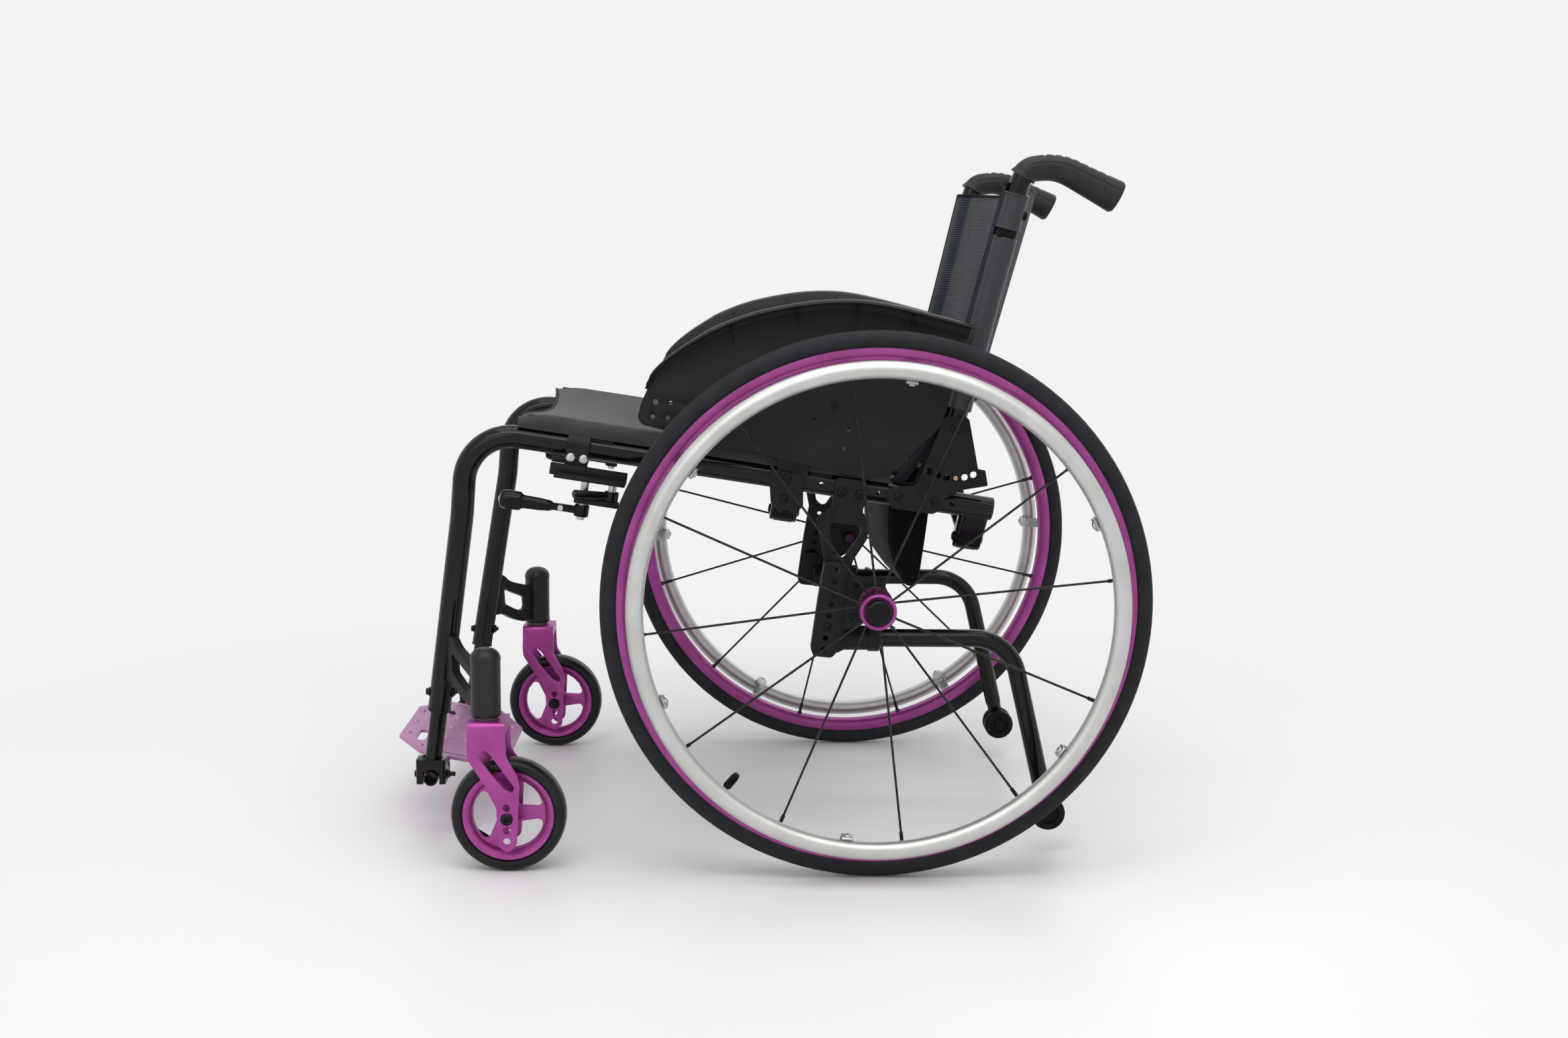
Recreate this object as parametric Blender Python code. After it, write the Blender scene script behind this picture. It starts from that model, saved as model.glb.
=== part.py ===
# Folding wheelchair. It faces -Y, its left side is +X, and it stands on Z = 0.
# Every shape is drawn in chair coordinates, in metres, with the origin on the ground
# under the rear axle. The right side is the mirror of the left one.

import bpy
import bmesh
from math import acos, atan2, ceil, cos, pi, radians, sin, tan
from mathutils import Matrix, Vector

# Fits
GAP = 0.0003
RUN = 0.0005

# How many sides round shapes have
TUBE_SIDES = 12
ROUND = 10
SMALL = 8
HUB_SIDES = 10
HEX = 6
HOUSING_SIDES = 14
SHARP_ENOUGH = radians(24)

# Rear wheel
WHEEL_R = 0.295
TRACK = 0.561
TYRE_W = 0.025
TYRE_TREAD_W = 0.010
TYRE_H = 0.0185
TYRE_SHOULDER = 0.0070
RIM_FLOOR_DROP = 0.0065
RIM_BED_WALL = 0.008
RIM_W = 0.020
RIM_LIP = 0.0016
WHEEL_SIDES = 28
HANDRIM_DROP = 0.0205
HANDRIM_TUBE_R = 0.0095
HANDRIM_OFFSET = 0.0375
HANDRIM_TABS = 6
HANDRIM_TAB_FIRST = 23.0
TAB_W = 0.012
TAB_WALL = 0.003

# Rear hub and quick-release axle
SPOKES = 12
SPOKE_FIRST = 7.0
SPOKE_R = 0.0013
HUB_FLANGE_R = 0.0195
HUB_FLANGE_SPREAD = 0.020
HUB_FLANGE_W = 0.004
HUB_COLLAR = 0.006
HUB_BODY_R = 0.0135
SPOKE_CIRCLE_R = 0.016
AXLE_R = 0.00635
BUTTON_R = 0.014
BUTTON_H = 0.008
BUTTON_TRAVEL = 0.003
BUTTON_POCKET = 0.0055

# Castor
CASTOR_R = 0.0625
CASTOR_TYRE_W = 0.028
CASTOR_HUB_R = 0.050
CASTOR_HUB_W = 0.020
CASTOR_BOSS_R = 0.011
CASTOR_SPOKES = 5
CASTOR_SPOKE_W = 0.011
CASTOR_SIDES = 18
CASTOR_X = 0.261
CASTOR_PIVOT_Y = -0.419
CASTOR_TRAIL = 0.024
CASTOR_BOLT_R = 0.004
FORK_GAP = 0.041
FORK_LEG = 0.004
FORK_CROWN_Z = 0.156
FORK_CROWN_H = 0.0125
FORK_HOLE_PITCH = 0.0125
STEM_R = 0.006
WASHER_R = 0.0125
WASHER_H = 0.0025
HOUSING_R = 0.0165
HOUSING_TOP = 0.246

# Side frame: one bent tube
TUBE_R = 0.0127
FRAME_X = 0.204
SEAT_SLOPE = radians(8.3)
SEAT_AXIS_Z = 0.411
TUBE_REAR_Y = 0.130
CORNER_Y = -0.443
CORNER_R = 0.052
KNEE_Y = -0.450
KNEE_Z = 0.380
KNEE_R = 0.120
LEG_END = (0.175, -0.483, 0.156)
LEG_COLLAR_R = 0.0145
LEG_COLLAR_H = 0.016

# Cross brace and its fold
BRACE_STATIONS = (-0.103, 0.104)
BRACE_SHIFT = 0.010
BRACE_TUBE_R = 0.0095
BRACE_ARM_R = 0.0088
BRACE_EYE_R = 0.009
PIVOT_IN = 0.025
PIVOT_DROP = 0.039
CENTRE_DROP = 0.015
BRACE_TOP_IN = 0.007
LUG_WALL = 0.005
LUG_R = 0.011
BRACE_BOLT_R = 0.004
BRACE_BOLT_HEAD_R = 0.0068
BRACE_BOLT_HEAD_H = 0.004
GUSSET_WALL = 0.006
RAIL_R = 0.0065
RAIL_RISE = 0.021
RAIL_FRONT = -0.385
RAIL_REAR = 0.012
CRADLES = (-0.300, -0.060)
CRADLE_L = 0.024

# Castor bracket
BRACKET_WALL = 0.010
BRACKET_CLAMP_R = 0.0175
BRACKET_LOW = 0.192
BRACKET_HIGH = 0.247

# Footrest
FOOT_TUBE_R = 0.0095
FOOT_INSERT = 0.060
CLAMP_Z = 0.084
CLAMP_H = 0.028
CLAMP_W = 0.025
CLAMP_L = 0.033
STUB_R = 0.008
STUB_Z = 0.077
STUB_Y = -0.493
STUB_END_X = 0.140
FLIP_X = 0.138
FLIP_PIN_R = 0.003
KNUCKLE_R = 0.008
KNUCKLE_W = 0.014
EAR_WALL = 0.004
PLATE_HALF_W = 0.120
PLATE_DEPTH = 0.133
PLATE_T = 0.004
PLATE_TILT = radians(10.4)
PLATE_Y = -0.4825
PLATE_FRONT_HALF = 0.070
PLATE_REAR_HALF = 0.057
PLATE_CHAMFER = 0.034
HOOK_R = 0.012
HOOK_REACH = 0.008

# Axle plate, block and anti-tip
AXLE_PLATE_T = 0.005
AXLE_BLOCK_T = 0.011
AXLE_BLOCK_R = 0.017
AXLE_HOLE_PITCH = 0.0125
AXLE_HOLES = 8
ANTI_TIP_X = 0.200
ANTI_TIP_Z = 0.246
ANTI_TIP_R = 0.010
RECEIVER_R = 0.014
RECEIVER_Y = (-0.048, 0.009)
ANTI_TIP_BEND_R = 0.051
ANTI_TIP_CORNER_Y = 0.155
ANTI_TIP_LEAN = radians(13.4)
ROLLER_Z = 0.048
ROLLER_R = 0.019
ROLLER_W = 0.028
ROLLER_PIN_R = 0.003
EAR_T = 0.006

# Side guard
GUARD_T = 0.002
GUARD_ROLL_R = 0.016
GUARD_OVERHANG = 0.031
HOLDER_T = 0.0045
HOLDER_BAR_T = 0.0017

# Back
BACK_PIVOT = (0.087, 0.482)
BACK_LEAN = radians(13.5)
BACK_PLATE_T = 0.004
BACK_BOLT_R = 0.0035
BACK_PIVOT_R = 0.004
BACK_BOLTS_Y = (0.026, 0.067)
ANGLE_HOLES = 6
ANGLE_HOLE_R = 0.054
ANGLE_PITCH = radians(10.3)
ANGLE_HOLES_FORWARD = 3
POST_R = 0.011
POST_EYE_R = 0.013
SLEEVE_R = 0.0135
SLEEVE_DROPS = ((0.173, 0.068), (0.058, 0.0155))
POST_KNEE_Z = 0.630
POST_TOP_Z = 0.753
POST_TOP_X = 0.216
TAIL_T = 0.008
GRIP_R = 0.0130
GRIP_END_R = 0.0160

# Brake, drawn in the tilted frame of the seat tube
BRAKE_COLLAR_S = -0.325
BRAKE_COLLAR_L = 0.025
BRAKE_COLLAR_R = 0.0175
BRAKE_BAR_S = (-0.352, -0.258)
BRAKE_BAR_T = (-0.0325, -0.0200)
BRAKE_WALL = 0.004
BRAKE_PIN_X = 0.241
BRAKE_PIN_R = 0.0045
LEVER_PIVOT_S = -0.3107
SHOE_PIVOT_S = -0.2813
SHOE_LEVEL = -0.0450
SHOE_R = 0.00525
SHOE_L = 0.045
SHOE_SPLAY = radians(30)
LEVER_LEVEL = -0.0640
LEVER_GRIP_R = 0.010
LEVER_GRIP_S = (-0.398, -0.352)
ARM_EYE_R = 0.008

# Slings
SLING_T = 0.0015
SLING_SAG = 0.022
SLING_FRONT = -0.389
SLING_REAR = 0.016
BACK_SLING_T = 0.003
BACK_SLING_BULGE = 0.030
BACK_SLING_LOW = 0.506
BACK_SLING_DROP = 0.015

# Values worked out from the ones above
WHEEL_X = TRACK / 2
RIM_R = WHEEL_R - TYRE_H
RIM_FLOOR_R = RIM_R - RIM_FLOOR_DROP
RIM_INNER_R = RIM_FLOOR_R - RIM_BED_WALL
HANDRIM_R = RIM_R - HANDRIM_DROP
SLEEVES = [(POST_TOP_Z - low, POST_TOP_Z - high) for low, high in SLEEVE_DROPS]
BACK_SLING_Z = (BACK_SLING_LOW, POST_TOP_Z - BACK_SLING_DROP)
FRONT_REACH = PLATE_Y - PLATE_DEPTH / 2 * cos(PLATE_TILT)
AXLE_Y = -(FRONT_REACH + WHEEL_R) / 2
PIVOT_X = FRAME_X - PIVOT_IN
BRACE_TUBE_REACH = PIVOT_X - BRACE_TOP_IN
TUBE_SIDE_X = FRAME_X + TUBE_R + GAP
BACK_TILT = tan(BACK_LEAN)
GUARD_X = TUBE_SIDE_X + HOLDER_BAR_T + GAP
BLOCK_X = TUBE_SIDE_X + AXLE_PLATE_T + GAP
HUB_OUTER = HUB_FLANGE_SPREAD + HUB_FLANGE_W / 2
HUB_INNER_END = HUB_OUTER + HUB_COLLAR

# Joint points in chair coordinates, filled by body()
PIVOTS = {"root": Vector((0, 0, 0))}
EMPTIES = {}


# Paths and outlines

def seat_z(y):
    """Height of the seat tube's centre line."""
    return SEAT_AXIS_Z - y * tan(SEAT_SLOPE)


def seat_frame():
    """Matrix from (x, along the seat tube, square to it) to the chair."""
    return Matrix.Translation((0, 0, SEAT_AXIS_Z)) @ Matrix.Rotation(-SEAT_SLOPE, 4, "X")


def seat_point(x, s, t):
    return seat_frame() @ Vector((x, s, t))


def leg_direction():
    """Unit vector down the lower leg."""
    return (Vector(LEG_END) - Vector((FRAME_X, KNEE_Y, KNEE_Z))).normalized()


def leg_point(z):
    """Point of the lower leg's centre line, or of its run below the leg, at height z."""
    down = leg_direction()
    return Vector(LEG_END) + down * ((z - LEG_END[2]) / down.z)


def post_point(z):
    """Point of the back post's centre line: straight beside the guard, then leaning out."""
    rise = max(0.0, z - POST_KNEE_Z) / (POST_TOP_Z - POST_KNEE_Z)
    x = FRAME_X + (POST_TOP_X - FRAME_X) * rise
    return Vector((x, BACK_PIVOT[0] + (z - BACK_PIVOT[1]) * BACK_TILT, z))


def bent(corners, step=radians(20)):
    """Path through (point, bend radius) corners, each inner corner rounded to an arc."""
    path = [Vector(corners[0][0])]
    for before, here, after in zip(corners, corners[1:], corners[2:]):
        point = Vector(here[0])
        arrive = (point - Vector(before[0])).normalized()
        leave = (Vector(after[0]) - point).normalized()
        turn = acos(max(-1.0, min(1.0, arrive.dot(leave))))
        if here[1] == 0 or turn < 1e-4:
            path.append(point)
            continue
        inward = (leave - arrive * arrive.dot(leave)).normalized()
        centre = point - arrive * here[1] * tan(turn / 2) + inward * here[1]
        steps = max(2, ceil(turn / step))
        for i in range(steps + 1):
            angle = turn * i / steps
            path.append(centre + (arrive * sin(angle) - inward * cos(angle)) * here[1])
    path.append(Vector(corners[-1][0]))
    return path


def rounded(points, radius, step=radians(30)):
    """Closed outline with its corners rounded; a point may carry its own radius."""
    outline = []
    count = len(points)
    for i, here in enumerate(points):
        r = here[2] if len(here) > 2 else radius
        point = Vector(here[:2])
        arrive = point - Vector(points[i - 1][:2])
        leave = Vector(points[(i + 1) % count][:2]) - point
        room = min(arrive.length, leave.length) * 0.48
        arrive.normalize()
        leave.normalize()
        turn = acos(max(-1.0, min(1.0, arrive.dot(leave))))
        if r == 0 or turn < SHARP_ENOUGH:
            outline.append(tuple(point))
            continue
        r = min(r, room / tan(turn / 2))
        inward = (leave - arrive * arrive.dot(leave)).normalized()
        centre = point - arrive * r * tan(turn / 2) + inward * r
        steps = max(1, ceil(turn / step))
        for k in range(steps + 1):
            angle = turn * k / steps
            outline.append(tuple(centre + (arrive * sin(angle) - inward * cos(angle)) * r))
    return outline


def ring(u, v, radius, sides=HEX):
    """Closed round outline whose flats touch the circle."""
    grown = radius / cos(pi / sides)
    turns = [2 * pi * (i + 0.5) / sides for i in range(sides)]
    return [(u + grown * cos(a), v + grown * sin(a)) for a in turns]


def link(first, first_r, second, second_r, steps=6):
    """Outline of an arm: two round ends joined by their outer tangents."""
    a = Vector(first)
    b = Vector(second)
    heading = atan2(b.y - a.y, b.x - a.x)
    spread = acos((first_r - second_r) / (b - a).length)
    outline = []
    for centre, r, start, end in (
        (a, first_r, heading + spread, heading - spread + 2 * pi),
        (b, second_r, heading - spread, heading + spread),
    ):
        for i in range(steps + 1):
            angle = start + (end - start) * i / steps
            outline.append((centre.x + r * cos(angle), centre.y + r * sin(angle)))
    return outline


# Places for flat and turned shapes

def side_plane(x):
    """Outline in (y, z), thickness along X."""
    return Matrix(((0, 0, 1, x), (1, 0, 0, 0), (0, 1, 0, 0), (0, 0, 0, 1)))


def front_plane(y):
    """Outline in (x, z), thickness along Y."""
    return Matrix(((1, 0, 0, 0), (0, 0, -1, y), (0, 1, 0, 0), (0, 0, 0, 1)))


def floor_plane(z):
    """Outline in (x, y), thickness along Z."""
    return Matrix.Translation((0, 0, z))


def axis_x(x, y, z):
    return Matrix.Translation((x, y, z))


def axis_y(x, y, z):
    return Matrix.Translation((x, y, z)) @ Matrix.Rotation(pi / 2, 4, "Z")


def axis_z(x, y, z):
    return Matrix.Translation((x, y, z)) @ Matrix.Rotation(-pi / 2, 4, "Y")


# Solids

def finished(bm):
    """Close a bmesh and hand it over as a mesh whose faces point out."""
    bmesh.ops.remove_doubles(bm, verts=bm.verts, dist=1e-6)
    bmesh.ops.dissolve_degenerate(bm, dist=1e-6, edges=bm.edges)
    bmesh.ops.recalc_face_normals(bm, faces=bm.faces)
    mesh = bpy.data.meshes.new("solid")
    bm.to_mesh(mesh)
    bm.free()
    return mesh


def ring_places(path):
    """One matrix for each path point: Z along the path, X carried along without twist."""
    count = len(path)
    ways = []
    for i in range(count):
        ways.append((path[min(i + 1, count - 1)] - path[max(i - 1, 0)]).normalized())
    side = Vector((1, 0, 0)) if abs(ways[0].x) < 0.9 else Vector((0, 1, 0))
    places = []
    for point, way in zip(path, ways):
        side = (side - way * way.dot(side)).normalized()
        across = way.cross(side)
        turn = Matrix((side, across, way)).transposed().to_4x4()
        places.append(Matrix.Translation(point) @ turn)
    return places


def swept(path, radii, sides=TUBE_SIDES):
    """Round bar along a path: a circle is extruded from point to point and capped."""
    if not isinstance(radii, (list, tuple)):
        radii = [radii] * len(path)
    grow = 1 / cos(pi / sides)
    places = [
        place @ Matrix.Rotation(pi / sides, 4, "Z") @ Matrix.Scale(r * grow, 4)
        for place, r in zip(ring_places([Vector(p) for p in path]), radii)
    ]
    bm = bmesh.new()
    start = bmesh.ops.create_circle(bm, segments=sides, radius=1.0, matrix=places[0])
    edges = list({edge for vert in start["verts"] for edge in vert.link_edges})
    bmesh.ops.edgeloop_fill(bm, edges=edges)
    for before, here in zip(places, places[1:]):
        grown = bmesh.ops.extrude_edge_only(bm, edges=edges)["geom"]
        verts = [item for item in grown if isinstance(item, bmesh.types.BMVert)]
        edges = [item for item in grown if isinstance(item, bmesh.types.BMEdge)]
        bmesh.ops.transform(bm, matrix=here @ before.inverted(), verts=verts)
    bmesh.ops.edgeloop_fill(bm, edges=edges)
    return finished(bm)


def rod(start, end, radius, sides=TUBE_SIDES):
    return swept([Vector(start), Vector(end)], radius, sides)


def turned(profile, place, sides=24):
    """Spin a profile of (along, radius) about the place's X axis; flats face the four sides."""
    grow = 1 / cos(pi / sides)
    bm = bmesh.new()
    verts = [bm.verts.new((along, radius * grow, 0)) for along, radius in profile]
    edges = []
    for i, vert in enumerate(verts):
        j = (i + 1) % len(verts)
        if profile[i][1] > 0 or profile[j][1] > 0:
            edges.append(bm.edges.new((vert, verts[j])))
    bmesh.ops.rotate(bm, verts=verts, cent=(0, 0, 0), matrix=Matrix.Rotation(pi / sides, 3, "X"))
    bmesh.ops.spin(bm, geom=verts + edges, cent=(0, 0, 0), axis=(1, 0, 0), angle=2 * pi,
                   steps=sides, use_merge=True)
    bm.transform(place)
    return finished(bm)


def plate(outline, thickness, place, holes=()):
    """Flat plate with holes, centred on its plane."""
    bm = bmesh.new()
    for loop in [outline] + list(holes):
        verts = [bm.verts.new((u, v, -thickness / 2)) for u, v in loop]
        for i, vert in enumerate(verts):
            bm.edges.new((verts[i - 1], vert))
    bmesh.ops.triangle_fill(bm, use_beauty=True, edges=bm.edges[:])
    grown = bmesh.ops.extrude_face_region(bm, geom=bm.faces[:])["geom"]
    top = [item for item in grown if isinstance(item, bmesh.types.BMVert)]
    bmesh.ops.translate(bm, verts=top, vec=(0, 0, thickness))
    bm.transform(place)
    return finished(bm)


def block(low, high, place=None):
    """Box between two corners."""
    size = [b - a for a, b in zip(low, high)]
    middle = [(a + b) / 2 for a, b in zip(low, high)]
    bm = bmesh.new()
    bmesh.ops.create_cube(bm, size=1.0, matrix=Matrix.LocRotScale(middle, None, size))
    if place:
        bm.transform(place)
    return finished(bm)


def combined(base, tools, operation):
    """Boolean the tools into or out of the base; the scratch objects go afterwards."""
    host = bpy.data.objects.new("host", base)
    scratch = [host]
    for tool in tools:
        other = bpy.data.objects.new("tool", tool)
        scratch.append(other)
        modifier = host.modifiers.new("shape", "BOOLEAN")
        modifier.operation = operation
        modifier.solver = "EXACT"
        modifier.object = other
    for item in scratch:
        bpy.context.scene.collection.objects.link(item)
    graph = bpy.context.evaluated_depsgraph_get()
    graph.update()
    result = bpy.data.meshes.new_from_object(host.evaluated_get(graph))
    for item in scratch:
        bpy.data.objects.remove(item)
    return flattened(result)


def flattened(mesh):
    """Merge the coplanar faces and the needless points that a Boolean leaves."""
    bm = bmesh.new()
    bm.from_mesh(mesh)
    bmesh.ops.remove_doubles(bm, verts=bm.verts, dist=2e-6)
    bmesh.ops.dissolve_limit(bm, angle_limit=radians(0.2), use_dissolve_boundaries=False,
                             verts=bm.verts, edges=bm.edges)
    bm.to_mesh(mesh)
    bm.free()
    return mesh


def joined(base, *tools):
    return combined(base, tools, "UNION")


def cut(base, *tools):
    return combined(base, tools, "DIFFERENCE")


def mirrored(mesh):
    """The other side's copy of a left-hand mesh."""
    bm = bmesh.new()
    bm.from_mesh(mesh)
    bmesh.ops.scale(bm, verts=bm.verts, vec=(-1, 1, 1))
    bmesh.ops.reverse_faces(bm, faces=bm.faces)
    copy = bpy.data.meshes.new("solid")
    bm.to_mesh(copy)
    bm.free()
    return copy


# Rear wheel

def rear_tyre():
    half = TYRE_W / 2
    foot = RIM_W / 2 - RIM_LIP - GAP
    profile = [
        (-foot, RIM_FLOOR_R + GAP), (foot, RIM_FLOOR_R + GAP), (foot, RIM_R + 0.001),
        (half, RIM_R + TYRE_SHOULDER), (TYRE_TREAD_W / 2, WHEEL_R), (-TYRE_TREAD_W / 2, WHEEL_R),
        (-half, RIM_R + TYRE_SHOULDER), (-foot, RIM_R + 0.001),
    ]
    return turned(profile, axis_x(WHEEL_X, 0, WHEEL_R), WHEEL_SIDES)


def rear_rim():
    """Channel rim: two flanges hold the tyre's foot, the spokes end at its inner face."""
    half = RIM_W / 2
    profile = [
        (-half, RIM_R), (-half + 0.001, RIM_INNER_R), (half - 0.001, RIM_INNER_R), (half, RIM_R),
        (half - RIM_LIP, RIM_R), (half - RIM_LIP, RIM_FLOOR_R),
        (-half + RIM_LIP, RIM_FLOOR_R), (-half + RIM_LIP, RIM_R),
    ]
    return turned(profile, axis_x(WHEEL_X, 0, WHEEL_R), WHEEL_SIDES)


def wheel_turn(degrees_round):
    """Turn about the rear axle."""
    centre = Matrix.Translation((0, 0, WHEEL_R))
    return centre @ Matrix.Rotation(radians(degrees_round), 4, "X") @ centre.inverted()


def rear_hub():
    """Hub shell with two flanges, spokes, the cap's pocket and the quick-release axle."""
    outer = HUB_OUTER
    inner = HUB_FLANGE_SPREAD - HUB_FLANGE_W / 2
    face = outer + BUTTON_POCKET
    tip = TUBE_SIDE_X - 0.004 - WHEEL_X
    profile = [
        (tip, 0), (tip, AXLE_R), (-HUB_INNER_END, AXLE_R), (-HUB_INNER_END, 0.0115),
        (-outer, 0.0125), (-outer, HUB_FLANGE_R), (-inner, HUB_FLANGE_R), (-inner, HUB_BODY_R),
        (inner, HUB_BODY_R), (inner, HUB_FLANGE_R), (face, HUB_FLANGE_R * 0.97),
        (face, BUTTON_R + GAP), (outer, BUTTON_R + GAP), (outer, 0),
    ]
    hub = turned(profile, axis_x(WHEEL_X, 0, WHEEL_R), HUB_SIDES)
    spokes = []
    for i in range(SPOKES):
        side = 1 if i % 2 else -1
        start = Vector((WHEEL_X + side * HUB_FLANGE_SPREAD, SPOKE_CIRCLE_R, WHEEL_R))
        end = Vector((WHEEL_X, RIM_INNER_R - GAP, WHEEL_R))
        spoke = rod(start, end, SPOKE_R, 3)
        spoke.transform(wheel_turn(SPOKE_FIRST + 360 / SPOKES * i))
        spokes.append(spoke)
    return joined(hub, *spokes)


def handrim():
    """Round hoop outside the wheel on six tabs that seat on the rim's side wall."""
    profile = ring(HANDRIM_OFFSET, HANDRIM_R, HANDRIM_TUBE_R, 8)
    hoop = turned(profile, axis_x(WHEEL_X, 0, WHEEL_R), WHEEL_SIDES)
    seat = RIM_W / 2 + GAP
    low = RIM_R - 0.009
    high = RIM_R - 0.002
    outline = [
        (seat, low), (seat, high), (seat + TAB_WALL, high), (seat + TAB_WALL, HANDRIM_R + 0.010),
        (HANDRIM_OFFSET - 0.004, HANDRIM_R + 0.003), (HANDRIM_OFFSET - 0.004, HANDRIM_R - 0.001),
    ]
    place = Matrix(((1, 0, 0, WHEEL_X), (0, 0, 1, 0), (0, 1, 0, WHEEL_R), (0, 0, 0, 1)))
    tabs = []
    for i in range(HANDRIM_TABS):
        tab = plate(outline, TAB_W, place)
        tab.transform(wheel_turn(HANDRIM_TAB_FIRST - 90 + 360 / HANDRIM_TABS * i))
        tabs.append(tab)
    return joined(hoop, *tabs)


def quick_release_button():
    """Domed cap that slides into the hub's pocket."""
    back = HUB_OUTER + BUTTON_TRAVEL + RUN
    profile = [
        (back, 0), (back, BUTTON_R - GAP), (back + BUTTON_H * 0.5, BUTTON_R - GAP),
        (back + BUTTON_H * 0.8, BUTTON_R * 0.86), (back + BUTTON_H * 0.95, BUTTON_R * 0.55),
        (back + BUTTON_H, 0),
    ]
    return turned(profile, axis_x(WHEEL_X, 0, WHEEL_R), HUB_SIDES)


# Castor

def castor_axis_y():
    return CASTOR_PIVOT_Y + CASTOR_TRAIL


def castor_tyre():
    half = CASTOR_TYRE_W / 2
    profile = [
        (-half * 0.82, CASTOR_HUB_R + GAP), (half * 0.82, CASTOR_HUB_R + GAP),
        (half, CASTOR_R - 0.0065), (half * 0.45, CASTOR_R), (-half * 0.45, CASTOR_R),
        (-half, CASTOR_R - 0.0065),
    ]
    return turned(profile, axis_x(CASTOR_X, castor_axis_y(), CASTOR_R), CASTOR_SIDES)


def castor_hub():
    """Five-spoke wheel body: a disc with rounded windows and a boss that meets both legs."""
    low = CASTOR_BOSS_R + 0.006
    high = CASTOR_HUB_R - 0.007
    windows = []
    for i in range(CASTOR_SPOKES):
        middle = 2 * pi * (i + 0.25) / CASTOR_SPOKES
        corners = []
        for radius, turns in ((low, (1, -1)), (high, (-1, -0.33, 0.33, 1))):
            half = pi / CASTOR_SPOKES - CASTOR_SPOKE_W / 2 / radius
            for turn in turns:
                angle = middle + turn * half
                corners.append((radius * cos(angle), radius * sin(angle)))
        windows.append(rounded(corners, 0.003, radians(120)))
    disc = plate(ring(0, 0, CASTOR_HUB_R, CASTOR_SIDES), CASTOR_HUB_W, side_plane(0), windows)
    boss = turned([(-FORK_GAP / 2 + RUN, 0), (-FORK_GAP / 2 + RUN, CASTOR_BOSS_R),
                   (FORK_GAP / 2 - RUN, CASTOR_BOSS_R), (FORK_GAP / 2 - RUN, 0)],
                  axis_x(0, 0, 0), ROUND)
    bore = turned([(-0.03, 0), (-0.03, CASTOR_BOLT_R + RUN), (0.03, CASTOR_BOLT_R + RUN),
                   (0.03, 0)], axis_x(0, 0, 0), SMALL)
    hub = cut(joined(disc, boss), bore)
    hub.transform(Matrix.Translation((CASTOR_X, castor_axis_y(), CASTOR_R)))
    return hub


def castor_axle():
    """Bolt across the fork with a head outside each leg."""
    leg = FORK_GAP / 2 + FORK_LEG + GAP
    profile = [
        (-leg - 0.0035, 0), (-leg - 0.0035, 0.0065), (-leg, 0.0075), (-leg, CASTOR_BOLT_R),
        (leg, CASTOR_BOLT_R), (leg, 0.0075), (leg + 0.0035, 0.0065), (leg + 0.0035, 0),
    ]
    return turned(profile, axis_x(CASTOR_X, castor_axis_y(), CASTOR_R), SMALL)


def castor_fork():
    """Two slotted legs under a crown with its stem and washer."""
    y = CASTOR_PIVOT_Y
    top = FORK_CROWN_Z + FORK_CROWN_H
    wheel_y = castor_axis_y()
    outline = rounded([
        (y - 0.017, top), (y - 0.018, 0.142), (y - 0.017, 0.128), (y, 0.101), (y + 0.013, 0.088),
        (wheel_y - 0.010, CASTOR_R), (wheel_y - 0.009, 0.034), (wheel_y, 0.025, 0.006),
        (wheel_y + 0.010, 0.033), (wheel_y + 0.014, 0.099), (wheel_y + 0.012, 0.111),
        (wheel_y, 0.130), (wheel_y - 0.001, top),
    ], 0.006, radians(91))
    slot = rounded([(y - 0.006, 0.131), (y, 0.139), (y + 0.007, 0.134), (y + 0.032, 0.098),
                    (y + 0.031, 0.092), (y + 0.022, 0.096)], 0)
    spare = [ring(wheel_y, CASTOR_R + step * FORK_HOLE_PITCH, CASTOR_BOLT_R + GAP)
             for step in (1, -1, -2)]
    bore = ring(wheel_y, CASTOR_R, CASTOR_BOLT_R + GAP, SMALL)
    offset = (FORK_GAP + FORK_LEG) / 2
    legs = [plate(outline, FORK_LEG, side_plane(CASTOR_X + offset), [slot, bore] + spare),
            plate(outline, FORK_LEG, side_plane(CASTOR_X - offset), [slot, bore])]
    half = FORK_GAP / 2 + FORK_LEG
    crown = plate(rounded([(CASTOR_X - half, y - 0.017), (CASTOR_X + half, y - 0.017),
                           (CASTOR_X + half, y + 0.023), (CASTOR_X - half, y + 0.023)], 0.006,
                          radians(50)),
                  FORK_CROWN_H, floor_plane(FORK_CROWN_Z + FORK_CROWN_H / 2))
    stem = turned([(top - 0.004, 0), (top - 0.004, WASHER_R), (top + WASHER_H, WASHER_R),
                   (top + WASHER_H, STEM_R), (HOUSING_TOP - 0.022, STEM_R),
                   (HOUSING_TOP - 0.021, 0)], axis_z(CASTOR_X, y, 0), ROUND)
    return joined(crown, legs[0], legs[1], stem)


def castor_housing():
    """Upright bearing tube with a domed cap; the stem turns in its blind bore."""
    low = FORK_CROWN_Z + FORK_CROWN_H + WASHER_H + GAP
    bore = STEM_R + RUN
    profile = [
        (HOUSING_TOP - 0.020, 0), (HOUSING_TOP - 0.020, bore), (low, bore), (low, HOUSING_R),
        (HOUSING_TOP - 0.012, HOUSING_R), (HOUSING_TOP - 0.0055, HOUSING_R * 0.89),
        (HOUSING_TOP - 0.0015, HOUSING_R * 0.56), (HOUSING_TOP, 0),
    ]
    return turned(profile, axis_z(CASTOR_X, CASTOR_PIVOT_Y, 0), HOUSING_SIDES)


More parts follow.
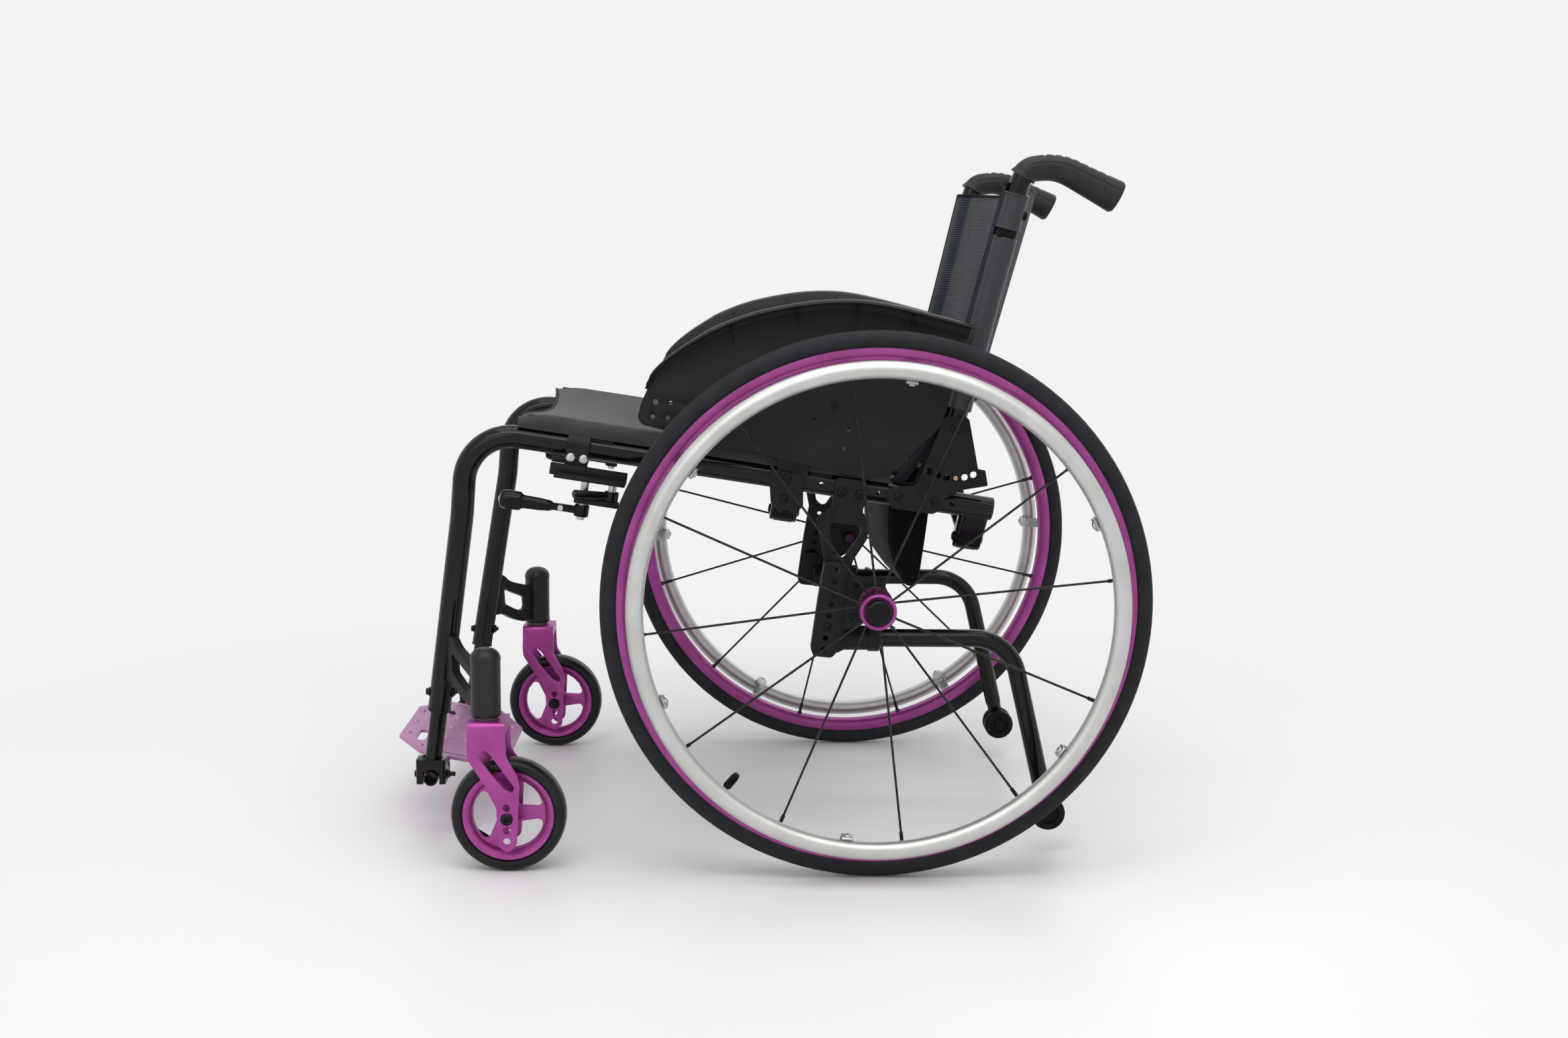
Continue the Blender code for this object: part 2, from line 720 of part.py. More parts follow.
def castor_bracket():
    """Arm between the leg and the castor housing: an arched plate with a window and a clamp."""
    middle = (BRACKET_LOW + BRACKET_HIGH) / 2
    leg = leg_point(middle)
    reach = Vector((CASTOR_X - leg.x, CASTOR_PIVOT_Y - leg.y, 0))
    length = reach.length
    way = reach.normalized()
    place = Matrix(((way.x, 0, way.y, leg.x), (way.y, 0, -way.x, leg.y), (0, 1, 0, 0),
                    (0, 0, 0, 1)))
    end = length - HOUSING_R + 0.004
    outline = rounded([
        (0, BRACKET_LOW + 0.004), (0, BRACKET_HIGH - 0.004), (0.022, BRACKET_HIGH - 0.003),
        (0.050, BRACKET_HIGH - 0.016), (end, 0.221), (end, 0.178), (0.062, 0.178),
        (0.030, BRACKET_LOW + 0.003),
    ], 0.008, radians(60))
    window = rounded([
        (0.025, 0.232), (0.047, 0.221), (end - 0.014, 0.206), (end - 0.013, 0.192),
        (0.060, 0.191), (0.026, 0.206),
    ], 0.004, radians(91))
    web = plate(outline, BRACKET_WALL, place, [window])
    clamp = rod(leg_point(BRACKET_LOW), leg_point(BRACKET_HIGH), BRACKET_CLAMP_R, ROUND)
    leg_bore = rod(leg_point(BRACKET_LOW - 0.02), leg_point(BRACKET_HIGH + 0.02), TUBE_R + GAP)
    seat = turned([(BRACKET_LOW - 0.04, 0), (BRACKET_LOW - 0.04, HOUSING_R + GAP),
                   (BRACKET_HIGH + 0.01, HOUSING_R + GAP), (BRACKET_HIGH + 0.01, 0)],
                  axis_z(CASTOR_X, CASTOR_PIVOT_Y, 0), HOUSING_SIDES)
    return cut(joined(web, clamp), leg_bore, seat)


# Side frame

def lug_pair(station):
    """Two hanging lugs with the pivot bolt of a brace between them."""
    outline = link((FRAME_X, 0), TUBE_R * 0.94, (PIVOT_X, -PIVOT_DROP), LUG_R, 3)
    offset = BRACE_TUBE_R + RUN + LUG_WALL / 2
    lugs = [plate(outline, LUG_WALL, seat_frame() @ front_plane(station + side * offset))
            for side in (1, -1)]
    half = offset + LUG_WALL / 2
    bolt = turned([(-half - BRACE_BOLT_HEAD_H, 0), (-half - BRACE_BOLT_HEAD_H, BRACE_BOLT_HEAD_R),
                   (-half + 0.001, BRACE_BOLT_HEAD_R), (-half + 0.001, BRACE_BOLT_R),
                   (half - 0.001, BRACE_BOLT_R), (half - 0.001, BRACE_BOLT_HEAD_R),
                   (half + BRACE_BOLT_HEAD_H, BRACE_BOLT_HEAD_R), (half + BRACE_BOLT_HEAD_H, 0)],
                  seat_frame() @ axis_y(PIVOT_X, station, -PIVOT_DROP), SMALL)
    return [lugs[0], lugs[1], bolt]


def side_frame(shift):
    """Bent tube with brace lugs and rail cradles; shift sets the lugs to this side's brace."""
    path = bent([
        ((FRAME_X, TUBE_REAR_Y, seat_z(TUBE_REAR_Y)), 0),
        ((FRAME_X, CORNER_Y, seat_z(CORNER_Y)), CORNER_R),
        ((FRAME_X, KNEE_Y, KNEE_Z), KNEE_R),
        (LEG_END, 0),
    ])
    tube = swept(path, TUBE_R)
    extras = [swept([leg_point(LEG_END[2] + 0.0002), leg_point(LEG_END[2] + LEG_COLLAR_H)],
                    LEG_COLLAR_R)]
    for station in BRACE_STATIONS:
        extras += lug_pair(station + shift * BRACE_SHIFT)
    for s in CRADLES:
        extras.append(block((FRAME_X - RAIL_R - 0.002, s - CRADLE_L / 2, TUBE_R * 0.6),
                            (FRAME_X + RAIL_R + 0.002, s + CRADLE_L / 2, RAIL_RISE - 0.0015),
                            seat_frame()))
    cuts = [rod(leg_point(LEG_END[2] - 0.02), leg_point(LEG_END[2] + FOOT_INSERT + 0.004),
                FOOT_TUBE_R + GAP)]
    for s in CRADLES:
        cuts.append(rod(seat_point(FRAME_X, s - CRADLE_L, RAIL_RISE),
                        seat_point(FRAME_X, s + CRADLE_L, RAIL_RISE), RAIL_R + GAP))
    for y in BACK_BOLTS_Y:
        cuts.append(turned([(-0.03, 0), (-0.03, BACK_BOLT_R + GAP), (0.03, BACK_BOLT_R + GAP),
                            (0.03, 0)], axis_x(FRAME_X, y, seat_z(y)), HEX))
    return cut(joined(tube, *extras), *cuts)


def axle_plate():
    """Cut-out plate on the tube's outer side with its window and row of holes."""
    outline = rounded([
        (-0.043, 0.428), (-0.007, 0.423), (-0.009, 0.402), (-0.013, 0.391), (-0.004, 0.374),
        (-0.008, 0.359), (-0.022, 0.337), (-0.030, 0.313), (-0.038, 0.238), (-0.045, 0.230),
        (-0.065, 0.232), (-0.068, 0.240), (-0.061, 0.293), (-0.054, 0.337), (-0.063, 0.382),
        (-0.046, 0.396),
    ], 0.006, radians(70))
    window = rounded([(-0.049, 0.379), (-0.014, 0.374), (-0.015, 0.365), (-0.033, 0.339),
                      (-0.044, 0.341)], 0.004, radians(100))
    holes = [window]
    first = (-0.040, 0.327)
    for i in range(AXLE_HOLES):
        drop = i * AXLE_HOLE_PITCH
        holes.append(ring(first[0] - drop * 0.16, first[1] - drop, 0.003))
    return plate(outline, AXLE_PLATE_T, side_plane(TUBE_SIDE_X + AXLE_PLATE_T / 2), holes)


def axle_block():
    """Rounded block on the axle plate that carries the axle sleeve."""
    start = BLOCK_X
    end = WHEEL_X - HUB_INNER_END - RUN
    outline = rounded([
        (-0.054, 0.318), (-0.022, 0.322), (0.012, WHEEL_R + AXLE_BLOCK_R),
        (AXLE_BLOCK_R, WHEEL_R + 0.005), (AXLE_BLOCK_R, WHEEL_R - 0.008),
        (0.006, WHEEL_R - AXLE_BLOCK_R), (-0.022, 0.262), (-0.058, 0.266),
    ], 0.007, radians(60))
    base = plate(outline, AXLE_BLOCK_T, side_plane(start + AXLE_BLOCK_T / 2))
    boss = turned([(start, 0), (start, AXLE_BLOCK_R - 0.003), (end, AXLE_BLOCK_R - 0.004),
                   (end, 0)], axis_x(0, 0, WHEEL_R), HUB_SIDES)
    bore = turned([(start - 0.02, 0), (start - 0.02, AXLE_R + RUN),
                   (end + 0.02, AXLE_R + RUN), (end + 0.02, 0)], axis_x(0, 0, WHEEL_R), HUB_SIDES)
    return cut(joined(base, boss), bore)


def anti_tip_receiver():
    """Sleeve under the axle plate's inner side with a lug against the plate."""
    start, end = RECEIVER_Y
    sleeve = turned([(start, 0), (start, RECEIVER_R - 0.001), (start + 0.002, RECEIVER_R),
                     (end - 0.014, RECEIVER_R), (end - 0.014, RECEIVER_R + 0.001),
                     (end, RECEIVER_R + 0.001), (end, 0)],
                    axis_y(ANTI_TIP_X, 0, ANTI_TIP_Z), ROUND)
    lug = plate(rounded([(start - 0.016, ANTI_TIP_Z - 0.012), (start + 0.010, ANTI_TIP_Z - 0.014),
                         (-0.030, ANTI_TIP_Z - 0.010), (-0.030, ANTI_TIP_Z + 0.010),
                         (start + 0.004, ANTI_TIP_Z + 0.030), (start - 0.012, ANTI_TIP_Z + 0.030)],
                        0.005, radians(60)), 0.006, side_plane(TUBE_SIDE_X - GAP - 0.003))
    arm = block((ANTI_TIP_X, start + 0.003, ANTI_TIP_Z - 0.008),
                (TUBE_SIDE_X - GAP - 0.003, -0.032, ANTI_TIP_Z + 0.008))
    bore = turned([(start + 0.006, 0), (start + 0.006, ANTI_TIP_R + RUN),
                   (end + 0.02, ANTI_TIP_R + RUN), (end + 0.02, 0)],
                  axis_y(ANTI_TIP_X, 0, ANTI_TIP_Z), ROUND)
    return cut(joined(sleeve, lug, arm), bore)


def anti_tip_foot():
    """Roller centre at the foot of the anti-tip leg."""
    drop = ANTI_TIP_Z - ROLLER_Z
    return Vector((ANTI_TIP_X, ANTI_TIP_CORNER_Y + drop * tan(ANTI_TIP_LEAN), ROLLER_Z))


def anti_tip_tube():
    """Bent tube in the receiver; its foot is flattened to an ear for the roller's axle."""
    foot = anti_tip_foot()
    corner = Vector((ANTI_TIP_X, ANTI_TIP_CORNER_Y, ANTI_TIP_Z))
    down = (foot - corner).normalized()
    path = bent([
        ((ANTI_TIP_X, RECEIVER_Y[0] + 0.006 + RUN, ANTI_TIP_Z), 0),
        (corner, ANTI_TIP_BEND_R),
        (foot - down * (ROLLER_R + 0.008), 0),
    ], radians(26))
    tube = swept(path, ANTI_TIP_R)
    ear = plate(link((foot.y - down.y * 0.035, foot.z - down.z * 0.035), 0.0095,
                     (foot.y, foot.z), 0.0075, 4), EAR_T, side_plane(ANTI_TIP_X))
    bore = turned([(-0.02, 0), (-0.02, ROLLER_PIN_R + RUN), (0.02, ROLLER_PIN_R + RUN),
                   (0.02, 0)], axis_x(*foot), SMALL)
    return cut(joined(tube, ear), bore)


def anti_tip_roller():
    """Twin roller: two wheels on one axle with the tube's ear between them."""
    half = ROLLER_W / 2
    slot = EAR_T / 2 + RUN
    low = ROLLER_R - 0.002
    wheel = [(slot, ROLLER_PIN_R), (slot, low), (slot + 0.002, ROLLER_R),
             (half - 0.002, ROLLER_R), (half, low), (half, 0)]
    profile = [(-along, radius) for along, radius in reversed(wheel)] + wheel
    return turned(profile, axis_x(*anti_tip_foot()), ROUND)


# Side guard

def guard_top():
    """Top edge of the guard's flat panel, from front to rear."""
    return [(-0.247, 0.522), (-0.236, 0.537), (-0.213, 0.553), (-0.180, 0.570), (-0.146, 0.585),
            (-0.112, 0.595), (-0.065, 0.603), (-0.017, 0.604), (0.030, 0.596), (0.098, 0.579)]


def side_guard():
    """Flat panel whose top edge rolls outwards over the tyre."""
    top = guard_top()
    lower = rounded([(0.095, 0.566, 0), (0.071, 0.484, 0.014), (0.017, 0.432, 0.012),
                     (-0.012, 0.427, 0.012), (-0.076, 0.441, 0.03), (-0.259, 0.485, 0.012),
                     (-0.254, 0.506, 0)], 0.01, radians(45))
    bm = bmesh.new()
    top_verts = [bm.verts.new((GUARD_X + GUARD_T, y, z)) for y, z in top]
    low_verts = [bm.verts.new((GUARD_X + GUARD_T, y, z)) for y, z in lower]
    outline = top_verts + low_verts
    for i, vert in enumerate(outline):
        bm.edges.new((outline[i - 1], vert))
    bmesh.ops.triangle_fill(bm, use_beauty=True, edges=bm.edges[:], normal=(1, 0, 0))
    row = top_verts
    normals = []
    for i in range(len(top)):
        a = Vector(top[max(i - 1, 0)])
        b = Vector(top[min(i + 1, len(top) - 1)])
        way = (b - a).normalized()
        normals.append(Vector((-way.y, way.x)))
    offsets = []
    for i in range(1, 4):
        angle = pi / 2 * i / 3
        offsets.append((GUARD_ROLL_R * (1 - cos(angle)), GUARD_ROLL_R * sin(angle)))
    offsets.append((GUARD_OVERHANG, GUARD_ROLL_R))
    for out, up in offsets:
        grown = []
        for (y, z), normal in zip(top, normals):
            grown.append(bm.verts.new((GUARD_X + GUARD_T + out, y + normal.x * up,
                                       z + normal.y * up)))
        for i in range(len(top) - 1):
            bm.faces.new((row[i], row[i + 1], grown[i + 1], grown[i]))
        row = grown
    bmesh.ops.recalc_face_normals(bm, faces=bm.faces)
    panel = max(bm.faces, key=lambda face: -face.calc_center_median().x)
    if panel.normal.x < 0:
        bmesh.ops.reverse_faces(bm, faces=bm.faces)
    sheet = bpy.data.meshes.new("sheet")
    bm.to_mesh(sheet)
    bm.free()
    return thickened(sheet, GUARD_T, -1)


def thickened(mesh, thickness, offset):
    """Give a sheet its wall with a Solidify modifier."""
    host = bpy.data.objects.new("sheet", mesh)
    bpy.context.scene.collection.objects.link(host)
    modifier = host.modifiers.new("wall", "SOLIDIFY")
    modifier.thickness = thickness
    modifier.offset = offset
    graph = bpy.context.evaluated_depsgraph_get()
    graph.update()
    result = bpy.data.meshes.new_from_object(host.evaluated_get(graph))
    bpy.data.objects.remove(host)
    return result


def guard_holder():
    """Bracket on the tube with a flat bar that stands behind the guard."""
    base = plate(rounded([(-0.115, 0.436), (-0.078, 0.430), (-0.078, 0.392), (-0.112, 0.397)],
                         0.008, radians(50)), HOLDER_T, side_plane(TUBE_SIDE_X + HOLDER_T / 2))
    bar = plate(rounded([(-0.107, 0.420), (-0.104, 0.512), (-0.070, 0.512), (-0.073, 0.415)],
                        0.004, radians(50)), HOLDER_BAR_T, side_plane(TUBE_SIDE_X + HOLDER_BAR_T / 2))
    return joined(base, bar)


# Back

def back_bracket():
    """Two plates astride the tube with tube bolts, the post's pivot bolt and the angle arc."""
    y, z = BACK_PIVOT
    outline = rounded([
        (0.076, 0.495), (0.101, 0.495), (0.115, 0.438), (0.111, 0.423), (0.094, 0.416),
        (0.0765, 0.405), (0.074, 0.393), (0.064, 0.388), (0.020, 0.394), (0.011, 0.408), (0.018, 0.421),
        (0.052, 0.437),
    ], 0.006, radians(91))
    holes = []
    for i in range(ANGLE_HOLES):
        turn = (i - ANGLE_HOLES_FORWARD) * ANGLE_PITCH + radians(3)
        holes.append(ring(y + ANGLE_HOLE_R * sin(turn), z - ANGLE_HOLE_R * cos(turn), 0.003))
    inset = TUBE_R + GAP + BACK_PLATE_T / 2
    plates = [plate(outline, BACK_PLATE_T, side_plane(FRAME_X + inset), holes),
              plate(outline, BACK_PLATE_T, side_plane(FRAME_X - inset), holes[-2:])]
    outside = inset + BACK_PLATE_T / 2
    bolts = []
    places = [((bolt, seat_z(bolt)), BACK_BOLT_R, HEX) for bolt in BACK_BOLTS_Y]
    places.append((BACK_PIVOT, BACK_PIVOT_R, SMALL))
    for point, r, sides in places:
        head = r + 0.003
        bolts.append(turned([
            (-outside - 0.003, 0), (-outside - 0.003, head), (-outside + 0.001, head),
            (-outside + 0.001, r), (outside - 0.001, r), (outside - 0.001, head),
            (outside + 0.003, head), (outside + 0.003, 0),
        ], axis_x(FRAME_X, *point), sides))
    return joined(plates[0], plates[1], *bolts)


def back_post():
    """Post with two sleeves, a pivot eye and a locking tail between the bracket's plates."""
    y, z = BACK_PIVOT
    stops = [z + 0.004]
    radii = [POST_R]
    for low, high in SLEEVES:
        stops += [low, low + 0.0015, high, high + 0.0015]
        radii += [POST_R, SLEEVE_R, SLEEVE_R, POST_R]
        if low < POST_KNEE_Z < high:
            stops.insert(-2, POST_KNEE_Z)
            radii.insert(-2, SLEEVE_R)
    stops.append(POST_TOP_Z)
    radii.append(POST_R)
    tube = swept([post_point(stop) for stop in stops], radii)
    half = TUBE_R - RUN
    eye = turned([(-half, 0), (-half, POST_EYE_R), (half, POST_EYE_R), (half, 0)],
                 axis_x(FRAME_X, y, z), ROUND)
    lock = (y + ANGLE_HOLE_R * sin(radians(3)), z - ANGLE_HOLE_R * cos(radians(3)))
    tail = plate(link((y, z), POST_EYE_R - 0.001, lock, 0.0065, 4), TAIL_T, side_plane(FRAME_X))
    pin = turned([(-half, 0), (-half, 0.0055), (half, 0.0055), (half, 0)],
                 axis_x(FRAME_X, *lock), SMALL)
    bore = turned([(-0.03, 0), (-0.03, BACK_PIVOT_R + RUN), (0.03, BACK_PIVOT_R + RUN),
                   (0.03, 0)], axis_x(FRAME_X, y, z), SMALL)
    return cut(joined(tube, eye, tail, pin), bore)


def push_grip():
    """Soft grip over the post's top, bending to the rear and swelling to its end."""
    top = post_point(POST_TOP_Z)
    way = (top - post_point(POST_TOP_Z - 0.01)).normalized()
    start = top - way * 0.010
    x = top.x
    path = bent([
        (start, 0),
        ((x + 0.0005, top.y + 0.0035, top.z + 0.0060), 0.0150),
        ((x + 0.001, top.y + 0.038, top.z + 0.010), 0.05),
        ((x + 0.001, top.y + 0.101, top.z - 0.0215), 0),
        ((x + 0.001, top.y + 0.1035, top.z - 0.0230), 0),
    ], radians(34))
    count = len(path)
    radii = [GRIP_R + (GRIP_END_R - GRIP_R) * min(1, i / (count - 3)) for i in range(count - 1)]
    radii.append(GRIP_END_R - 0.002)
    grip = swept(path, radii)
    socket = rod(start - way * 0.02, top + way * GAP * 2, POST_R + GAP)
    return cut(grip, socket)


# Brake, drawn along the seat tube (x, along, square to it)

def brake_mount():
    """Tube clamp and angle bar with two hanging pins."""
    y0, y1 = BRAKE_BAR_S
    t0, t1 = BRAKE_BAR_T
    collar = rod(seat_point(FRAME_X, BRAKE_COLLAR_S - BRAKE_COLLAR_L / 2, 0),
                 seat_point(FRAME_X, BRAKE_COLLAR_S + BRAKE_COLLAR_L / 2, 0), BRAKE_COLLAR_R, ROUND)
    side = FRAME_X + BRAKE_COLLAR_R
    upright = block((side - BRAKE_WALL / 2, y0, t0), (side + BRAKE_WALL / 2, y1, t1), seat_frame())
    bridge = block((FRAME_X + TUBE_R * 0.6, BRAKE_COLLAR_S - BRAKE_COLLAR_L * 0.42, t1 - 0.003),
                   (side + BRAKE_WALL * 0.4, BRAKE_COLLAR_S + BRAKE_COLLAR_L * 0.42, -0.002),
                   seat_frame())
    shelf = block((side - BRAKE_WALL * 0.3, y0 + 0.008, t0 + 0.0004),
                  (BRAKE_PIN_X + 0.007, y1 - 0.001, t0 + BRAKE_WALL), seat_frame())
    pins = []
    for s, low in ((LEVER_PIVOT_S, LEVER_LEVEL - 0.007), (SHOE_PIVOT_S, SHOE_LEVEL - 0.0065)):
        pins.append(turned([
            (low - RUN - 0.003, 0), (low - RUN - 0.003, BRAKE_PIN_R + 0.002),
            (low - RUN, BRAKE_PIN_R + 0.002), (low - RUN, BRAKE_PIN_R),
            (t0 + 0.001, BRAKE_PIN_R), (t0 + 0.001, 0),
        ], seat_frame() @ axis_z(BRAKE_PIN_X, s, 0), SMALL))
    bore = rod(seat_point(FRAME_X, BRAKE_COLLAR_S - 0.05, 0),
               seat_point(FRAME_X, BRAKE_COLLAR_S + 0.05, 0), TUBE_R + GAP)
    channel = rod(seat_point(FRAME_X, BRAKE_COLLAR_S - 0.05, RAIL_RISE),
                  seat_point(FRAME_X, BRAKE_COLLAR_S + 0.05, RAIL_RISE), RAIL_R + 2 * GAP)
    return cut(joined(collar, upright, bridge, shelf, *pins), bore, channel)


def brake_eye(s, level, half):
    """Solid eye and its bore round one brake pin."""
    place = seat_frame() @ axis_z(BRAKE_PIN_X, s, level)
    eye = turned([(-half, 0), (-half, ARM_EYE_R), (half, ARM_EYE_R), (half, 0)], place, ROUND)
    bore = turned([(-0.02, 0), (-0.02, BRAKE_PIN_R + RUN), (0.02, BRAKE_PIN_R + RUN), (0.02, 0)],
                  place, SMALL)
    return eye, bore


def brake_lever():
    """Eye, flat neck and round grip."""
    eye, bore = brake_eye(LEVER_PIVOT_S, LEVER_LEVEL, 0.007)
    neck = plate(link((BRAKE_PIN_X, LEVER_PIVOT_S), ARM_EYE_R - 0.001,
                      (BRAKE_PIN_X, LEVER_GRIP_S[1] - 0.006), 0.006, 3), 0.007,
                 seat_frame() @ floor_plane(LEVER_LEVEL))
    front, rear = LEVER_GRIP_S
    grip = turned([(front, 0), (front, LEVER_GRIP_R * 0.7), (front + 0.004, LEVER_GRIP_R),
                   (rear - 0.006, LEVER_GRIP_R * 0.9), (rear, LEVER_GRIP_R * 0.6), (rear, 0)],
                  seat_frame() @ axis_y(BRAKE_PIN_X, 0, LEVER_LEVEL), SMALL)
    return cut(joined(eye, neck, grip), bore)


def brake_shoe():
    """Eye with the round bar that swings out in front of the tyre."""
    eye, bore = brake_eye(SHOE_PIVOT_S, SHOE_LEVEL, 0.0065)
    tip = (BRAKE_PIN_X + SHOE_L * sin(SHOE_SPLAY), SHOE_PIVOT_S - SHOE_L * cos(SHOE_SPLAY))
    bar = rod(seat_point(BRAKE_PIN_X, SHOE_PIVOT_S, SHOE_LEVEL),
              seat_point(tip[0], tip[1], SHOE_LEVEL), SHOE_R, SMALL)
    return cut(joined(eye, bar), bore)


# Cross brace

def brace_line():
    """Slope of a brace tube from its low pivot through the centre bolt."""
    return (PIVOT_DROP - CENTRE_DROP) / PIVOT_X


def brace(side):
    """Seat rail on two tubes; side +1 carries the right rail, -1 the left one.

    The rear tube stands behind the rail's end, so an arm runs forward from its top.
    """
    place = seat_frame()
    rail_x = -side * FRAME_X
    rail = swept([place @ Vector((rail_x, RAIL_FRONT, RAIL_RISE)),
                  place @ Vector((rail_x, RAIL_REAR, RAIL_RISE))], RAIL_R)
    low = (side * PIVOT_X, -PIVOT_DROP)
    high = (-side * BRACE_TUBE_REACH, brace_line() * BRACE_TUBE_REACH - CENTRE_DROP)
    parts = []
    bores = []
    for station in BRACE_STATIONS:
        s = station + side * BRACE_SHIFT
        parts.append(rod(place @ Vector((low[0], s, low[1])),
                         place @ Vector((high[0], s, high[1])), BRACE_TUBE_R))
        carry = min(s, RAIL_REAR - GUSSET_WALL)
        if carry < s:
            parts.append(rod(place @ Vector((high[0], s + BRACE_ARM_R * 0.8, high[1])),
                             place @ Vector((high[0], carry - GUSSET_WALL, high[1])),
                             BRACE_ARM_R))
        half = BRACE_TUBE_R
        parts.append(turned([(-half, 0), (-half, BRACE_EYE_R + 0.001), (half, BRACE_EYE_R + 0.001),
                             (half, 0)], place @ axis_y(low[0], s, low[1]), ROUND))
        inner = abs(high[0]) - 0.014
        gusset = [(inner, high[1] - 0.004), (inner, high[1] + 0.007),
                  (FRAME_X - RAIL_R - 0.001, RAIL_RISE + RAIL_R * 0.8),
                  (FRAME_X, RAIL_RISE + RAIL_R * 0.8), (FRAME_X, RAIL_RISE - RAIL_R * 0.9),
                  (FRAME_X - TUBE_R - 0.001, RAIL_RISE - RAIL_R * 0.9),
                  (FRAME_X - TUBE_R - 0.012, high[1] - 0.005)]
        gusset = [(-side * x, t) for x, t in gusset]
        parts.append(plate(gusset, GUSSET_WALL, place @ front_plane(carry)))
        for x, t in (low, (0, -CENTRE_DROP)):
            bores.append(turned([(-0.03, 0), (-0.03, BRACE_BOLT_R + RUN),
                                 (0.03, BRACE_BOLT_R + RUN), (0.03, 0)],
                                place @ axis_y(x, s, t), SMALL))
    return cut(joined(rail, *parts), *bores)


def brace_bolt(station):
    """Centre bolt through both tubes of one pair, with a head at each end."""
    half = BRACE_SHIFT + BRACE_TUBE_R + RUN
    profile = [
        (-half - BRACE_BOLT_HEAD_H, 0), (-half - BRACE_BOLT_HEAD_H, BRACE_BOLT_HEAD_R),
        (-half, BRACE_BOLT_HEAD_R), (-half, BRACE_BOLT_R), (half, BRACE_BOLT_R),
        (half, BRACE_BOLT_HEAD_R), (half + BRACE_BOLT_HEAD_H, BRACE_BOLT_HEAD_R),
        (half + BRACE_BOLT_HEAD_H, 0),
    ]
    return turned(profile, seat_frame() @ axis_y(0, station, -CENTRE_DROP), SMALL)


# Footrest

def footrest_tube(knuckle):
    """Tube in the leg, clamp block and stub; the left stub ends in the plate's hinge knuckle."""
    foot = leg_point(CLAMP_Z)
    tube = rod(leg_point(LEG_END[2] + FOOT_INSERT), leg_point(CLAMP_Z - CLAMP_H / 2 - 0.003),
               FOOT_TUBE_R)
    clamp = plate(rounded([(foot.x - CLAMP_W / 2, foot.y - CLAMP_L / 2),
                           (foot.x + CLAMP_W / 2, foot.y - CLAMP_L / 2),
                           (foot.x + CLAMP_W / 2, foot.y + CLAMP_L / 2),
                           (foot.x - CLAMP_W / 2, foot.y + CLAMP_L / 2)], 0.006,
                          radians(50)),
                  CLAMP_H, floor_plane(CLAMP_Z))
    outer = foot.x + CLAMP_W / 2 + 0.004
    if not knuckle:
        stub = rod((STUB_END_X, STUB_Y, STUB_Z), (outer, STUB_Y, STUB_Z), STUB_R)
        return joined(clamp, tube, stub)
    start = FLIP_X + KNUCKLE_R + 0.0015
    stub = rod((start, STUB_Y, STUB_Z), (outer, STUB_Y, STUB_Z), STUB_R)
    neck = block((FLIP_X, STUB_Y - KNUCKLE_W / 2 + RUN, STUB_Z - 0.0055),
                 (start + 0.002, STUB_Y + KNUCKLE_W / 2 - RUN, STUB_Z + 0.0055))
    half = KNUCKLE_W / 2
    eye = turned([(-half, 0), (-half, KNUCKLE_R), (half, KNUCKLE_R), (half, 0)],
                 axis_y(FLIP_X, STUB_Y, STUB_Z), ROUND)
    bore = turned([(-0.02, 0), (-0.02, FLIP_PIN_R + RUN), (0.02, FLIP_PIN_R + RUN), (0.02, 0)],
                  axis_y(FLIP_X, STUB_Y, STUB_Z), SMALL)
    return cut(joined(clamp, tube, stub, neck, eye), bore)


def plate_frame():
    """Place of the tilted footplate: X across, Y to the rear along it, Z out of its top."""
    height = STUB_Z + (STUB_R + GAP + PLATE_T / 2) / cos(PLATE_TILT)
    height += (STUB_Y - PLATE_Y) * tan(PLATE_TILT)
    return Matrix.Translation((0, PLATE_Y, height)) @ Matrix.Rotation(-PLATE_TILT, 4, "X")


def footplate():
    """Eight-sided plate with grip slots."""
    half = PLATE_DEPTH / 2
    side = half - PLATE_CHAMFER
    outline = rounded([
        (-PLATE_FRONT_HALF, -half), (PLATE_FRONT_HALF, -half), (PLATE_HALF_W, -side),
        (PLATE_HALF_W, side), (PLATE_REAR_HALF, half), (-PLATE_REAR_HALF, half),
        (-PLATE_HALF_W, side), (-PLATE_HALF_W, -side),
    ], 0.008, radians(50))
    holes = []
    for x in (-1, 1):
        for x0, x1, y0, y1 in ((0.030, 0.075, -0.046, -0.036), (0.030, 0.075, 0.030, 0.040),
                               (0.106, 0.110, -0.022, 0.022)):
            corners = [(x * x0, y0), (x * x1, y0), (x * x1, y1), (x * x0, y1)]
            holes.append(rounded(corners, 0.0048, radians(91)))
    return plate(outline, PLATE_T, plate_frame(), holes)


